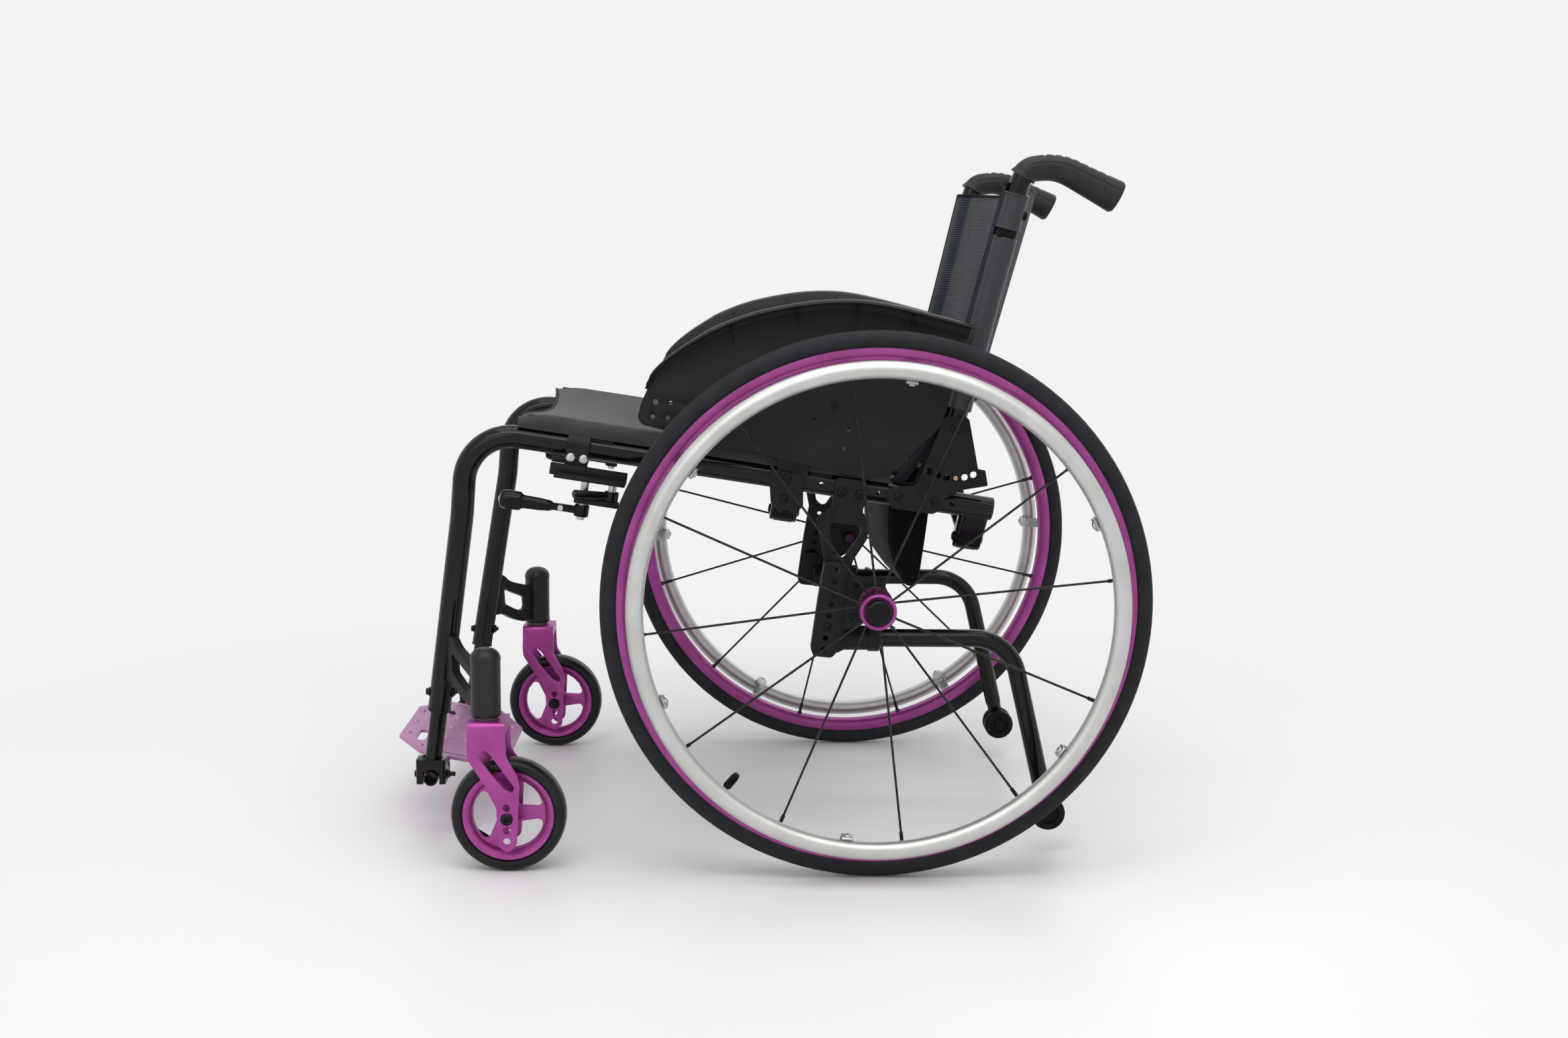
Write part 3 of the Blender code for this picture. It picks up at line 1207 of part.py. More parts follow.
def footplate_mount():
    """Cross tube with two saddles, hinge ears with their pin, and a hook for the far stub."""
    block_end = FLIP_X - KNUCKLE_R - 0.0020
    hook_wall = STUB_END_X - 0.0035
    tube = rod((-hook_wall + 0.004, STUB_Y, STUB_Z), (block_end - 0.004, STUB_Y, STUB_Z), STUB_R)
    ear_out = KNUCKLE_W / 2 + RUN + EAR_WALL
    head = block((block_end - 0.016, STUB_Y - ear_out, STUB_Z - STUB_R),
                 (block_end, STUB_Y + ear_out, STUB_Z + STUB_R * 0.7))
    parts = [head]
    for side in (-1, 1):
        y = STUB_Y + side * (KNUCKLE_W / 2 + RUN + EAR_WALL / 2)
        parts.append(plate(link((block_end - 0.006, STUB_Z), 0.0070, (FLIP_X, STUB_Z), 0.0072, 3),
                           EAR_WALL, front_plane(y)))
    parts.append(turned([(-ear_out - 0.002, 0), (-ear_out - 0.002, FLIP_PIN_R + 0.002),
                         (-ear_out + 0.0005, FLIP_PIN_R + 0.002), (-ear_out + 0.0005, FLIP_PIN_R),
                         (ear_out - 0.0005, FLIP_PIN_R), (ear_out - 0.0005, FLIP_PIN_R + 0.002),
                         (ear_out + 0.002, FLIP_PIN_R + 0.002), (ear_out + 0.002, 0)],
                        axis_y(FLIP_X, STUB_Y, STUB_Z), SMALL))
    along = (STUB_Y - PLATE_Y) / cos(PLATE_TILT)
    for x in (-0.065, 0.065):
        parts.append(block((x - 0.011, along - 0.013, -PLATE_T / 2 - 0.011),
                           (x + 0.011, along + 0.013, -PLATE_T / 2 - GAP), plate_frame()))
    cap = rod((-hook_wall - HOOK_REACH, STUB_Y, STUB_Z), (-hook_wall + 0.010, STUB_Y, STUB_Z),
              HOOK_R, ROUND)
    hollow = rod((-hook_wall - HOOK_REACH - 0.01, STUB_Y, STUB_Z), (-hook_wall, STUB_Y, STUB_Z),
                 STUB_R + GAP)
    below = block((-hook_wall - HOOK_REACH - 0.01, STUB_Y - 0.02, STUB_Z - 0.02),
                  (-hook_wall, STUB_Y + 0.02, STUB_Z - 0.001))
    hook = cut(cap, hollow, below)
    return joined(tube, *parts, hook)


# Slings

def seat_sling():
    """Cloth seat: hemmed over both rails, sagging between them with its main folds."""
    rows = 9
    wrap = (RAIL_R / cos(pi / TUBE_SIDES) + GAP) / cos(radians(22.5))
    bm = bmesh.new()
    grid = []
    for i in range(rows):
        along = i / (rows - 1)
        s = SLING_FRONT + (SLING_REAR - SLING_FRONT) * along
        sag = SLING_SAG * (0.55 + 0.45 * sin(pi * along) ** 0.5)
        section = []
        for angle in (0, 45, 90):
            turn = radians(angle)
            section.append((FRAME_X + wrap * cos(turn), RAIL_RISE + wrap * sin(turn)))
        for k in range(11):
            across = 1 - 2 * k / 10
            fold = 0.0015 * sin(5 * pi * along + 3 * across) * (1 - across ** 2)
            section.append((across * (FRAME_X - 0.003), RAIL_RISE + wrap - sag * (1 - across ** 2)
                            + fold))
        for angle in (90, 135, 180):
            turn = radians(angle)
            section.append((-FRAME_X + wrap * cos(turn), RAIL_RISE + wrap * sin(turn)))
        grid.append([bm.verts.new(seat_point(x, s, t)) for x, t in section])
    return woven(bm, grid, SLING_T, 1)


def back_sling():
    """Ribbed mesh back between the posts, bulging to the rear."""
    rows = 10
    columns = 13
    low, high = BACK_SLING_Z
    bm = bmesh.new()
    grid = []
    for i in range(rows):
        z = low + (high - low) * i / (rows - 1)
        centre = post_point(z)
        edge = centre.x - SLEEVE_R / cos(pi / TUBE_SIDES) - 3 * GAP
        bulge = BACK_SLING_BULGE * (0.75 + 0.25 * sin(pi * i / (rows - 1)))
        row = []
        for k in range(columns):
            across = 1 - 2 * k / (columns - 1)
            pull = 0.0022 * cos(9 * pi * across) * (1 - across ** 2)
            row.append(bm.verts.new((across * edge, centre.y + bulge * (1 - across ** 2) + pull,
                                     z)))
        grid.append(row)
    return woven(bm, grid, BACK_SLING_T, 0)


def woven(bm, grid, thickness, offset):
    """Skin a grid of points and give it its wall."""
    for lower, upper in zip(grid, grid[1:]):
        for k in range(len(lower) - 1):
            bm.faces.new((lower[k], lower[k + 1], upper[k + 1], upper[k]))
    bmesh.ops.recalc_face_normals(bm, faces=bm.faces)
    bm.faces.ensure_lookup_table()
    middle = bm.faces[len(bm.faces) // 2]
    if middle.normal.z + middle.normal.y < 0:
        bmesh.ops.reverse_faces(bm, faces=bm.faces)
    mesh = bpy.data.meshes.new("sheet")
    bm.to_mesh(mesh)
    bm.free()
    return thickened(mesh, thickness, offset)


# Finishes

def finish(name, colour, roughness, metallic=0.0):
    material = bpy.data.materials.new(name)
    material.use_nodes = True
    shader = material.node_tree.nodes["Principled BSDF"]
    shader.inputs["Base Color"].default_value = (*colour, 1)
    shader.inputs["Roughness"].default_value = roughness
    shader.inputs["Metallic"].default_value = metallic
    return material


def black_paint(name):
    return finish(name, (0.012, 0.012, 0.013), 0.28)


def matte_black(name):
    return finish(name, (0.022, 0.022, 0.024), 0.55)


def purple_anodised(name):
    return finish(name, (0.34, 0.07, 0.26), 0.32, 0.85)


def silver(name):
    return finish(name, (0.68, 0.68, 0.66), 0.3, 1.0)


def rubber(name):
    return finish(name, (0.035, 0.036, 0.04), 0.7)


def grip_foam(name):
    return finish(name, (0.045, 0.047, 0.05), 0.6)


def plastic(name):
    return finish(name, (0.02, 0.02, 0.022), 0.45)


def seat_cloth(name):
    return finish(name, (0.03, 0.03, 0.033), 0.85)


def mesh_cloth(name):
    return finish(name, (0.035, 0.04, 0.055), 0.9)


# Assembly

def body(name, parent, point):
    """Empty on a joint's axis; pieces and further joints hang on it."""
    empty = bpy.data.objects.new(name, None)
    empty.empty_display_size = 0.03
    bpy.context.scene.collection.objects.link(empty)
    PIVOTS[name] = Vector(point)
    EMPTIES[name] = empty
    if parent:
        empty.parent = EMPTIES[parent]
        empty.location = PIVOTS[name] - PIVOTS[parent]
    else:
        empty.location = (0, AXLE_Y, 0)
    return empty


def piece(name, mesh, body_name, material):
    """One named object on its body, drawn in chair coordinates."""
    mesh.name = name
    mesh.materials.clear()
    mesh.materials.append(material(name))
    mesh.shade_smooth()
    mesh.set_sharp_from_angle(angle=radians(32))
    item = bpy.data.objects.new(name, mesh)
    bpy.context.scene.collection.objects.link(item)
    item.parent = EMPTIES[body_name]
    item.location = -PIVOTS[body_name]
    return item


def pair(name, mesh, left_body, right_body, material):
    """The same piece on both sides."""
    other = mirrored(mesh)
    piece(name + "_left", mesh, left_body, material)
    piece(name + "_right", other, right_body, material)


def make_bodies():
    """One empty for each moving body, on its joint."""
    body("root", None, (0, 0, 0))
    body("cross_brace_a_body", "root", seat_point(PIVOT_X, 0, -PIVOT_DROP))
    body("cross_brace_b_body", "cross_brace_a_body", seat_point(0, 0, -CENTRE_DROP))
    body("right_side", "cross_brace_b_body", seat_point(-PIVOT_X, 0, -PIVOT_DROP))
    body("footplate_body", "root", (FLIP_X, STUB_Y, STUB_Z))
    foot = anti_tip_foot()
    for side, parent, sign in (("left", "root", 1), ("right", "right_side", -1)):
        def at(point):
            return (sign * point[0], point[1], point[2])
        body("rear_wheel_" + side, parent, at((WHEEL_X, 0, WHEEL_R)))
        body("button_" + side, "rear_wheel_" + side, at((WHEEL_X, 0, WHEEL_R)))
        body("castor_swivel_" + side, parent, at((CASTOR_X, CASTOR_PIVOT_Y, FORK_CROWN_Z)))
        body("castor_wheel_" + side, "castor_swivel_" + side,
             at((CASTOR_X, castor_axis_y(), CASTOR_R)))
        body("backrest_" + side, parent, at((FRAME_X, *BACK_PIVOT)))
        body("brake_lever_body_" + side, parent,
             at(seat_point(BRAKE_PIN_X, LEVER_PIVOT_S, LEVER_LEVEL)))
        body("brake_shoe_body_" + side, parent,
             at(seat_point(BRAKE_PIN_X, SHOE_PIVOT_S, SHOE_LEVEL)))
        body("anti_tip_" + side, parent, at((ANTI_TIP_X, 0, ANTI_TIP_Z)))
        body("roller_" + side, "anti_tip_" + side, at(foot))


def make_sides():
    """Every piece that both sides have."""
    piece("side_frame_left", side_frame(1), "root", black_paint)
    piece("side_frame_right", mirrored(side_frame(-1)), "right_side", black_paint)
    piece("footrest_tube_left", footrest_tube(True), "root", black_paint)
    piece("footrest_tube_right", mirrored(footrest_tube(False)), "right_side", black_paint)
    fixed = (
        ("castor_bracket", castor_bracket, matte_black),
        ("castor_housing", castor_housing, black_paint),
        ("axle_plate", axle_plate, matte_black),
        ("axle_block", axle_block, matte_black),
        ("anti_tip_receiver", anti_tip_receiver, matte_black),
        ("side_guard", side_guard, matte_black),
        ("guard_holder", guard_holder, matte_black),
        ("back_bracket", back_bracket, matte_black),
        ("brake_mount", brake_mount, matte_black),
    )
    for name, make, material in fixed:
        pair(name, make(), "root", "right_side", material)
    moving = (
        ("rear_tyre", rear_tyre, "rear_wheel", rubber),
        ("rear_rim", rear_rim, "rear_wheel", purple_anodised),
        ("rear_hub", rear_hub, "rear_wheel", purple_anodised),
        ("handrim", handrim, "rear_wheel", silver),
        ("quick_release_button", quick_release_button, "button", plastic),
        ("castor_fork", castor_fork, "castor_swivel", purple_anodised),
        ("castor_axle", castor_axle, "castor_swivel", silver),
        ("castor_hub", castor_hub, "castor_wheel", purple_anodised),
        ("castor_tyre", castor_tyre, "castor_wheel", rubber),
        ("back_post", back_post, "backrest", black_paint),
        ("push_grip", push_grip, "backrest", grip_foam),
        ("brake_lever", brake_lever, "brake_lever_body", plastic),
        ("brake_shoe", brake_shoe, "brake_shoe_body", silver),
        ("anti_tip_tube", anti_tip_tube, "anti_tip", black_paint),
        ("anti_tip_roller", anti_tip_roller, "roller", rubber),
    )
    for name, make, on, material in moving:
        pair(name, make(), on + "_left", on + "_right", material)


def make_middle():
    """The folding brace, the slings and the footplate."""
    piece("cross_brace_a", brace(1), "cross_brace_a_body", black_paint)
    piece("cross_brace_b", brace(-1), "cross_brace_b_body", black_paint)
    for name, station in zip(("brace_bolt_front", "brace_bolt_rear"), BRACE_STATIONS):
        piece(name, brace_bolt(station), "cross_brace_a_body", silver)
    piece("seat_sling", seat_sling(), "cross_brace_a_body", seat_cloth)
    piece("back_sling", back_sling(), "backrest_left", mesh_cloth)
    piece("footplate", footplate(), "footplate_body", purple_anodised)
    piece("footplate_mount", footplate_mount(), "footplate_body", purple_anodised)


def main():
    for item in list(bpy.data.objects):
        bpy.data.objects.remove(item)
    make_bodies()
    make_sides()
    make_middle()


main()
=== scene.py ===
from math import acos, atan2, ceil, cos, pi, radians, sin, sqrt, tan

import bpy
from mathutils import Matrix, Vector


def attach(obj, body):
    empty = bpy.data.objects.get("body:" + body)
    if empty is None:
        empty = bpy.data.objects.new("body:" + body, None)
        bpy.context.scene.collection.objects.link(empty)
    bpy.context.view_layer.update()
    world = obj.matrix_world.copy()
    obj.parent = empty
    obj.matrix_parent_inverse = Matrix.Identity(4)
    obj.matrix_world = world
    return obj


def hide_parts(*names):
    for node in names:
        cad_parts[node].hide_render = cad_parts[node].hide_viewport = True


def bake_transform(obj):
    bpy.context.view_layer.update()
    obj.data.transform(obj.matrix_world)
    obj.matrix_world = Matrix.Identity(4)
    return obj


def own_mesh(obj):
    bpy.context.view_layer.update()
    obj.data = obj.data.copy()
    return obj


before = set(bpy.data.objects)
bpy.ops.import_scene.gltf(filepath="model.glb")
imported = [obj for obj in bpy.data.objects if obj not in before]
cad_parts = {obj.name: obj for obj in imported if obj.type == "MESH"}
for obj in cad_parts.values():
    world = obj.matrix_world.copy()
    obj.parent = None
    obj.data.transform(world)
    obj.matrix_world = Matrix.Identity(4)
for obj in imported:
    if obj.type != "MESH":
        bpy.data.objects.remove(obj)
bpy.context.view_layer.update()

# Sizes of the chair in metres, from a point under the rear axle: +X is the chair's left, -Y its
# front. A piece is put AXLE_Y further back when it is fitted to its body. Names with S run along
# the seat tube, those with T square to it.
AXLE_Y = 0.12645
SIDES = ("root", "right_side")

# Rear wheels
WHEEL_X = 0.2805
WHEEL_R = 0.295
WHEEL_CENTRE = (WHEEL_X, AXLE_Y, WHEEL_R)
RIM_BED_R = 0.262
HANDRIM_R = 0.256
HANDRIM_X = 0.0375
HOOP_BAR_R = 0.0095
SPOKES = 12
TABS = 6

# Angles on them in degrees: spokes and valve from straight back, handrim tabs from the top. The
# right wheel stands turned.
SPOKE_START = 7
VALVE_PLACE = 231
TAB_START = -67
RIGHT_WHEEL_TURN = 39.5
RIGHT_VALVE_TURN = -131

# Side frames and seat rails
FRAME_X = 0.204
TUBE_R = 0.0127
SLOPE = radians(8.3)
SEAT_Z = 0.411
KNEE = Vector((0.204, -0.450, 0.380))
LEG_END = Vector((0.175, -0.483, 0.156))
RAIL_T = 0.021

# Castors
CASTOR_X = 0.261
CASTOR_Y = -0.395
CASTOR_R = 0.0625
PIVOT_Y = -0.419

# Backrest
BACK_PIVOT = (0.087, 0.482)
POST_TOP = 0.753

# Cross braces
LUG_X = 0.179
LUG_T = -0.039
CROSS_T = -0.015
ARM_X = 0.172
BRACE_STATIONS = (-0.103, 0.104)
BRACE_STAGGER = 0.010

# Brakes
BRAKE_X = 0.241
LEVER_S = -0.3107
LEVER_T = -0.064
SHOE_S = -0.2813
SHOE_T = -0.0445

# Anti-tip legs
ANTI_X = 0.200
ANTI_Z = 0.246
ANTI_BEND_Y = 0.155
ROLLER_Z = 0.048

# Footrest
FOOT_Y = -0.493
FOOT_Z = 0.077
HINGE_X = 0.138
BOARD_Y = -0.4825
BOARD_TILT = radians(10.4)


# Places

def toward_x(x, y, z):
    """Turning axis along +X."""
    return Matrix.Translation((x, y, z)) @ Matrix.Rotation(pi / 2, 4, "Y")


def toward_y(x, y, z):
    """Turning axis along +Y."""
    return Matrix.Translation((x, y, z)) @ Matrix.Rotation(-pi / 2, 4, "X")


def toward_z(x, y, z):
    """Turning axis along +Z."""
    return Matrix.Translation((x, y, z))


def along(start, end):
    """Turning axis from one point to another."""
    start, end = Vector(start), Vector(end)
    return Matrix.Translation(start) @ (end - start).to_track_quat("Z", "Y").to_matrix().to_4x4()


def side_plane(x):
    """Outline in (y, z), thickness along X."""
    return Matrix(((0, 0, 1, x), (1, 0, 0, 0), (0, 1, 0, 0), (0, 0, 0, 1)))


def front_plane(y):
    """Outline in (x, z), thickness along Y."""
    return Matrix(((1, 0, 0, 0), (0, 0, -1, y), (0, 1, 0, 0), (0, 0, 0, 1)))


def seat_frame():
    """From (x, along the seat tube, square to it) to the chair."""
    return Matrix.Translation((0, 0, SEAT_Z)) @ Matrix.Rotation(-SLOPE, 4, "X")


def seat_z(y):
    """Height of the seat tube's middle."""
    return SEAT_Z - y * tan(SLOPE)


def seat_point(x, s, t):
    """Point by its way along the seat tube (s) and square to it (t)."""
    return seat_frame() @ Vector((x, s, t))


def leg_point(z):
    """Middle of the front leg at a height."""
    down = (LEG_END - KNEE).normalized()
    return LEG_END + down * ((z - LEG_END.z) / down.z)


def post_point(z):
    """Middle of the back post at a height; its upper part leans outwards."""
    x = FRAME_X + 0.012 * max(0.0, z - 0.630) / 0.123
    return Vector((x, BACK_PIVOT[0] + (z - BACK_PIVOT[1]) * tan(radians(13.5)), z))


# Outlines

def corner_arc(point, arrive, leave, turn, radius, steps):
    """Points of the arc that rounds a corner."""
    inward = (leave - arrive * arrive.dot(leave)).normalized()
    centre = point - arrive * radius * tan(turn / 2) + inward * radius
    return [centre + (arrive * sin(angle) - inward * cos(angle)) * radius
            for angle in [turn * i / steps for i in range(steps + 1)]]


def bent(corners, step):
    """Path through (point, bend radius) corners."""
    path = [Vector(corners[0][0])]
    for before, here, after in zip(corners, corners[1:], corners[2:]):
        point = Vector(here[0])
        arrive = (point - Vector(before[0])).normalized()
        leave = (Vector(after[0]) - point).normalized()
        turn = acos(max(-1.0, min(1.0, arrive.dot(leave))))
        if here[1] == 0 or turn < 1e-4:
            path.append(point)
            continue
        path += corner_arc(point, arrive, leave, turn, here[1], max(2, ceil(turn / step)))
    path.append(Vector(corners[-1][0]))
    return path


def rounded(points, radius, step=radians(14)):
    """Closed outline with rounded corners; a point may carry its own radius."""
    outline = []
    count = len(points)
    for i, here in enumerate(points):
        r = here[2] if len(here) > 2 else radius
        point = Vector(here[:2])
        arrive = point - Vector(points[i - 1][:2])
        leave = Vector(points[(i + 1) % count][:2]) - point
        room = min(arrive.length, leave.length) * 0.48
        arrive.normalize()
        leave.normalize()
        turn = acos(max(-1.0, min(1.0, arrive.dot(leave))))
        if r == 0 or turn < radians(4):
            outline.append(tuple(point))
            continue
        r = min(r, room / tan(turn / 2))
        arc = corner_arc(point, arrive, leave, turn, r, max(1, ceil(turn / step)))
        outline += [tuple(p) for p in arc]
    return outline


def hole(u, v, radius, sides=20):
    """Round outline."""
    return [(u + radius * cos(2 * pi * i / sides), v + radius * sin(2 * pi * i / sides))
            for i in range(sides)]


def link(first, first_r, second, second_r):
    """Two round ends joined by their outer tangents."""
    steps = 9
    a = Vector(first)
    b = Vector(second)
    heading = atan2(b.y - a.y, b.x - a.x)
    spread = acos((first_r - second_r) / (b - a).length)
    outline = []
    for centre, r, start, end in (
        (a, first_r, heading + spread, heading - spread + 2 * pi),
        (b, second_r, heading - spread, heading + spread),
    ):
        for i in range(steps + 1):
            angle = start + (end - start) * i / steps
            outline.append((centre.x + r * cos(angle), centre.y + r * sin(angle)))
    return outline


def smooth_line(points, per_span):
    """Points of a soft curve through the given ones."""
    padded = [points[0]] + list(points) + [points[-1]]
    line = []
    for a, b, c, d in zip(padded, padded[1:], padded[2:], padded[3:]):
        for i in range(per_span):
            t = i / per_span
            line.append(tuple(
                0.5 * (2 * q + (r - p) * t + (2 * p - 5 * q + 4 * r - s) * t * t
                       + (3 * q - p - 3 * r + s) * t ** 3)
                for p, q, r, s in zip(a, b, c, d)))
    line.append(tuple(points[-1]))
    return line


# Work on one piece

def clear_bench():
    """Object mode, nothing selected."""
    if bpy.context.mode != "OBJECT":
        bpy.ops.object.mode_set(mode="OBJECT")
    bpy.ops.object.select_all(action="DESELECT")


def pick(piece):
    """Only this piece selected."""
    clear_bench()
    piece.select_set(True)
    bpy.context.view_layer.objects.active = piece


def open_mesh(piece):
    """Edit mode with all of the piece selected."""
    pick(piece)
    bpy.ops.object.mode_set(mode="EDIT")
    bpy.ops.mesh.select_all(action="SELECT")


def discard(piece):
    pick(piece)
    bpy.ops.object.delete()


def face_outwards(piece):
    open_mesh(piece)
    bpy.ops.mesh.normals_make_consistent(inside=False)
    clear_bench()


def reshape(piece, kind, **settings):
    """Apply one modifier with these settings."""
    pick(piece)
    bpy.ops.object.modifier_add(type=kind)
    step = piece.modifiers[-1]
    for key, value in settings.items():
        setattr(step, key, value)
    bpy.ops.object.modifier_apply(modifier=step.name)
    return piece


def set_down(piece, place):
    """Put a piece in its place and bake the place into its mesh."""
    pick(piece)
    piece.matrix_world = place @ piece.matrix_world
    bpy.ops.object.transform_apply(location=True, rotation=True, scale=True)
    return piece


def close_up(piece):
    """Merge seams, close open ends and turn the faces outwards."""
    open_mesh(piece)
    bpy.ops.mesh.remove_doubles(threshold=1e-6)
    bpy.ops.mesh.select_all(action="DESELECT")
    bpy.ops.mesh.select_non_manifold(extend=False, use_wire=False, use_multi_face=False,
                                     use_non_contiguous=False, use_verts=False)
    bpy.ops.mesh.fill_holes(sides=0)
    bpy.ops.mesh.select_all(action="SELECT")
    bpy.ops.mesh.normals_make_consistent(inside=False)
    clear_bench()
    return piece


def turned(steps, place, sides, ring=False):
    """Lathe work: a circle is extruded from step to step of (height, radius)."""
    clear_bench()
    low, before = steps[0]
    bpy.ops.mesh.primitive_circle_add(vertices=sides, radius=before, location=(0, 0, low))
    piece = bpy.context.object
    open_mesh(piece)
    for high, radius in list(steps[1:]) + ([steps[0]] if ring else []):
        bpy.ops.mesh.extrude_region_move(TRANSFORM_OT_translate={"value": (0, 0, high - low)})
        grow = radius / before
        bpy.ops.transform.resize(value=(grow, grow, 1), center_override=(0, 0, high))
        low, before = high, radius
    close_up(piece)
    return set_down(piece, place)


def strand(path):
    """Row of edges along a path."""
    clear_bench()
    bpy.ops.mesh.primitive_plane_add(size=0.001, location=path[0])
    piece = bpy.context.object
    open_mesh(piece)
    bpy.ops.mesh.merge(type="CENTER")
    for here, after in zip(path, path[1:]):
        bpy.ops.mesh.extrude_region_move(TRANSFORM_OT_translate={"value": after - here})
    clear_bench()
    return piece


def tube(path, radius, sides):
    """Round bar along a path; the radius may be a list."""
    path = [Vector(p) for p in path]
    pick(strand(path))
    bpy.ops.object.convert(target="CURVE")
    piece = bpy.context.object
    line = piece.data
    line.bevel_depth = 1.0 if isinstance(radius, list) else radius
    line.bevel_resolution = sides
    line.use_fill_caps = True
    line.twist_mode = "MINIMUM"
    if isinstance(radius, list):
        points = line.splines[0].points
        first = piece.matrix_world @ points[0].co.to_3d()
        radii = radius if (first - path[0]).length < (first - path[-1]).length else radius[::-1]
        for point, r in zip(points, radii):
            point.radius = r
    bpy.ops.object.convert(target="MESH")
    piece = bpy.context.object
    bpy.ops.object.transform_apply(location=True, rotation=True, scale=True)
    return close_up(piece)


def rod(start, end, radius, sides=24, ease=0.0006):
    """Round bar with eased ends."""
    length = (Vector(end) - Vector(start)).length
    ease = min(ease, radius * 0.4)
    steps = [(0, radius - ease), (ease, radius), (length - ease, radius),
             (length, radius - ease)]
    return turned(steps, along(start, end), sides)


def slab(outline, thickness):
    """Flat outline with straight walls."""
    clear_bench()
    bpy.ops.mesh.primitive_circle_add(vertices=len(outline), radius=1, fill_type="NGON")
    piece = bpy.context.object
    for vertex, (u, v) in zip(piece.data.vertices, outline):
        vertex.co = (u, v, -thickness / 2)
    open_mesh(piece)
    bpy.ops.mesh.extrude_region_move(TRANSFORM_OT_translate={"value": (0, 0, thickness)})
    bpy.ops.mesh.select_all(action="SELECT")
    bpy.ops.mesh.normals_make_consistent(inside=False)
    clear_bench()
    return piece


def take_away(piece, tool):
    """Cut the tool's shape out of the piece."""
    reshape(piece, "BOOLEAN", operation="DIFFERENCE", solver="EXACT", object=tool)
    discard(tool)
    return piece


def merge_solids(piece, other):
    """Weld two solids into one skin."""
    reshape(piece, "BOOLEAN", operation="UNION", solver="EXACT", use_self=True, object=other)
    discard(other)
    open_mesh(piece)
    bpy.ops.mesh.remove_doubles(threshold=1e-6)
    bpy.ops.mesh.dissolve_limited(angle_limit=radians(0.5))
    clear_bench()
    return piece


def ease_edges(piece, width, segments=2, limit=35):
    """Round the edges that are sharper than the limit, in degrees."""
    return reshape(piece, "BEVEL", width=width, segments=segments, limit_method="ANGLE",
                   angle_limit=radians(limit))


def thicken(sheet, thickness, offset):
    return reshape(sheet, "SOLIDIFY", thickness=thickness, offset=offset)


def plate(outline, thickness, place, holes=(), edge=0):
    """Flat plate with its holes cut; its edges are eased where an edge is given."""
    piece = slab(outline, thickness)
    if holes:
        tools = [slab(line, thickness * 3) for line in holes]
        piece = take_away(piece, together(tools))
    if edge:
        ease_edges(piece, edge)
    return set_down(piece, place)


def block(low, high, edge, place=None, segments=2):
    """Squared block with eased edges."""
    clear_bench()
    middle = [(a + b) / 2 for a, b in zip(low, high)]
    bpy.ops.mesh.primitive_cube_add(size=1, location=middle)
    piece = bpy.context.object
    piece.scale = [b - a for a, b in zip(low, high)]
    bpy.ops.object.transform_apply(location=True, rotation=True, scale=True)
    ease_edges(piece, edge, segments)
    return set_down(piece, place) if place else piece


def together(pieces):
    """Join pieces that are made as one."""
    if len(pieces) == 1:
        return pieces[0]
    clear_bench()
    for piece in pieces:
        piece.select_set(True)
    bpy.context.view_layer.objects.active = pieces[0]
    bpy.ops.object.join()
    return bpy.context.object


def other_side(piece):
    """Mirror image of a piece for the chair's right side."""
    pick(piece)
    bpy.ops.object.duplicate()
    copy = bpy.context.object
    copy.scale = (-1, 1, 1)
    bpy.ops.object.transform_apply(location=True, rotation=True, scale=True)
    face_outwards(copy)
    return copy


def dress(piece, name, coat, smooth):
    """Name a piece, put it in its place and give it its finish."""
    piece.name = name
    piece.data.name = name
    piece.data.transform(Matrix.Translation((0, AXLE_Y, 0)))
    piece.data.materials.clear()
    piece.data.materials.append(coat)
    pick(piece)
    bpy.ops.object.shade_smooth_by_angle(angle=radians(smooth))


def fit(piece, name, body, coat, slot, *nodes, smooth):
    """Dress a piece and let it ride on its body."""
    dress(piece, name, coat, smooth)
    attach(piece, body)
    if nodes:
        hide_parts(*nodes)
    return piece


def fit_pair(piece, name, left, right, coat, slot, *nodes, smooth=38, turn=0):
    """The same piece on both sides; the right one turned about the rear axle."""
    copy = other_side(piece)
    copy.data.transform(wheel_turn(turn))
    fit(piece, name + "_left", left, coat, slot, *[n + "_left" for n in nodes], smooth=smooth)
    fit(copy, name + "_right", right, coat, slot, *[n + "_right" for n in nodes], smooth=smooth)


def button_screw(radius, height, place):
    """Round head with a six-sided socket."""
    socket = radius * 0.42
    head = turned([(0, radius), (height * 0.35, radius), (height * 0.75, radius * 0.86),
                   (height, radius * 0.60)], Matrix.Identity(4), 24)
    key = turned([(height * 0.35, socket), (height * 2, socket)], Matrix.Identity(4), 6)
    return set_down(take_away(head, key), place)


def hex_bolt(radius, height, place):
    """Six-sided head on its washer."""
    washer = turned([(0, radius * 1.3), (height * 0.25, radius * 1.3)], Matrix.Identity(4), 24)
    head = turned([(height * 0.25, radius), (height * 0.88, radius), (height, radius * 0.86)],
                  Matrix.Identity(4), 6)
    return set_down(together([washer, head]), place)


def weld_bead(path, size):
    """Row of overlapping beads along a seam."""
    path = [Vector(p) for p in path]
    beads = []
    for i in range(len(path) - 1):
        steps = max(1, round((path[i + 1] - path[i]).length / (size * 0.9)))
        for k in range(steps):
            point = path[i].lerp(path[i + 1], k / steps)
            way = (path[i + 1] - path[i]).normalized()
            beads.append(turned([(-size * 0.7, size * 0.45), (-size * 0.35, size * 0.9),
                                 (size * 0.3, size), (size * 0.7, size * 0.6)],
                                along(point, point + way), 8))
    return together(beads)


# Finishes

def new_finish(name):
    """Material, its nodes and its shader."""
    coat = bpy.data.materials.new(name)
    coat.use_nodes = True
    return coat, coat.node_tree, coat.node_tree.nodes["Principled BSDF"]


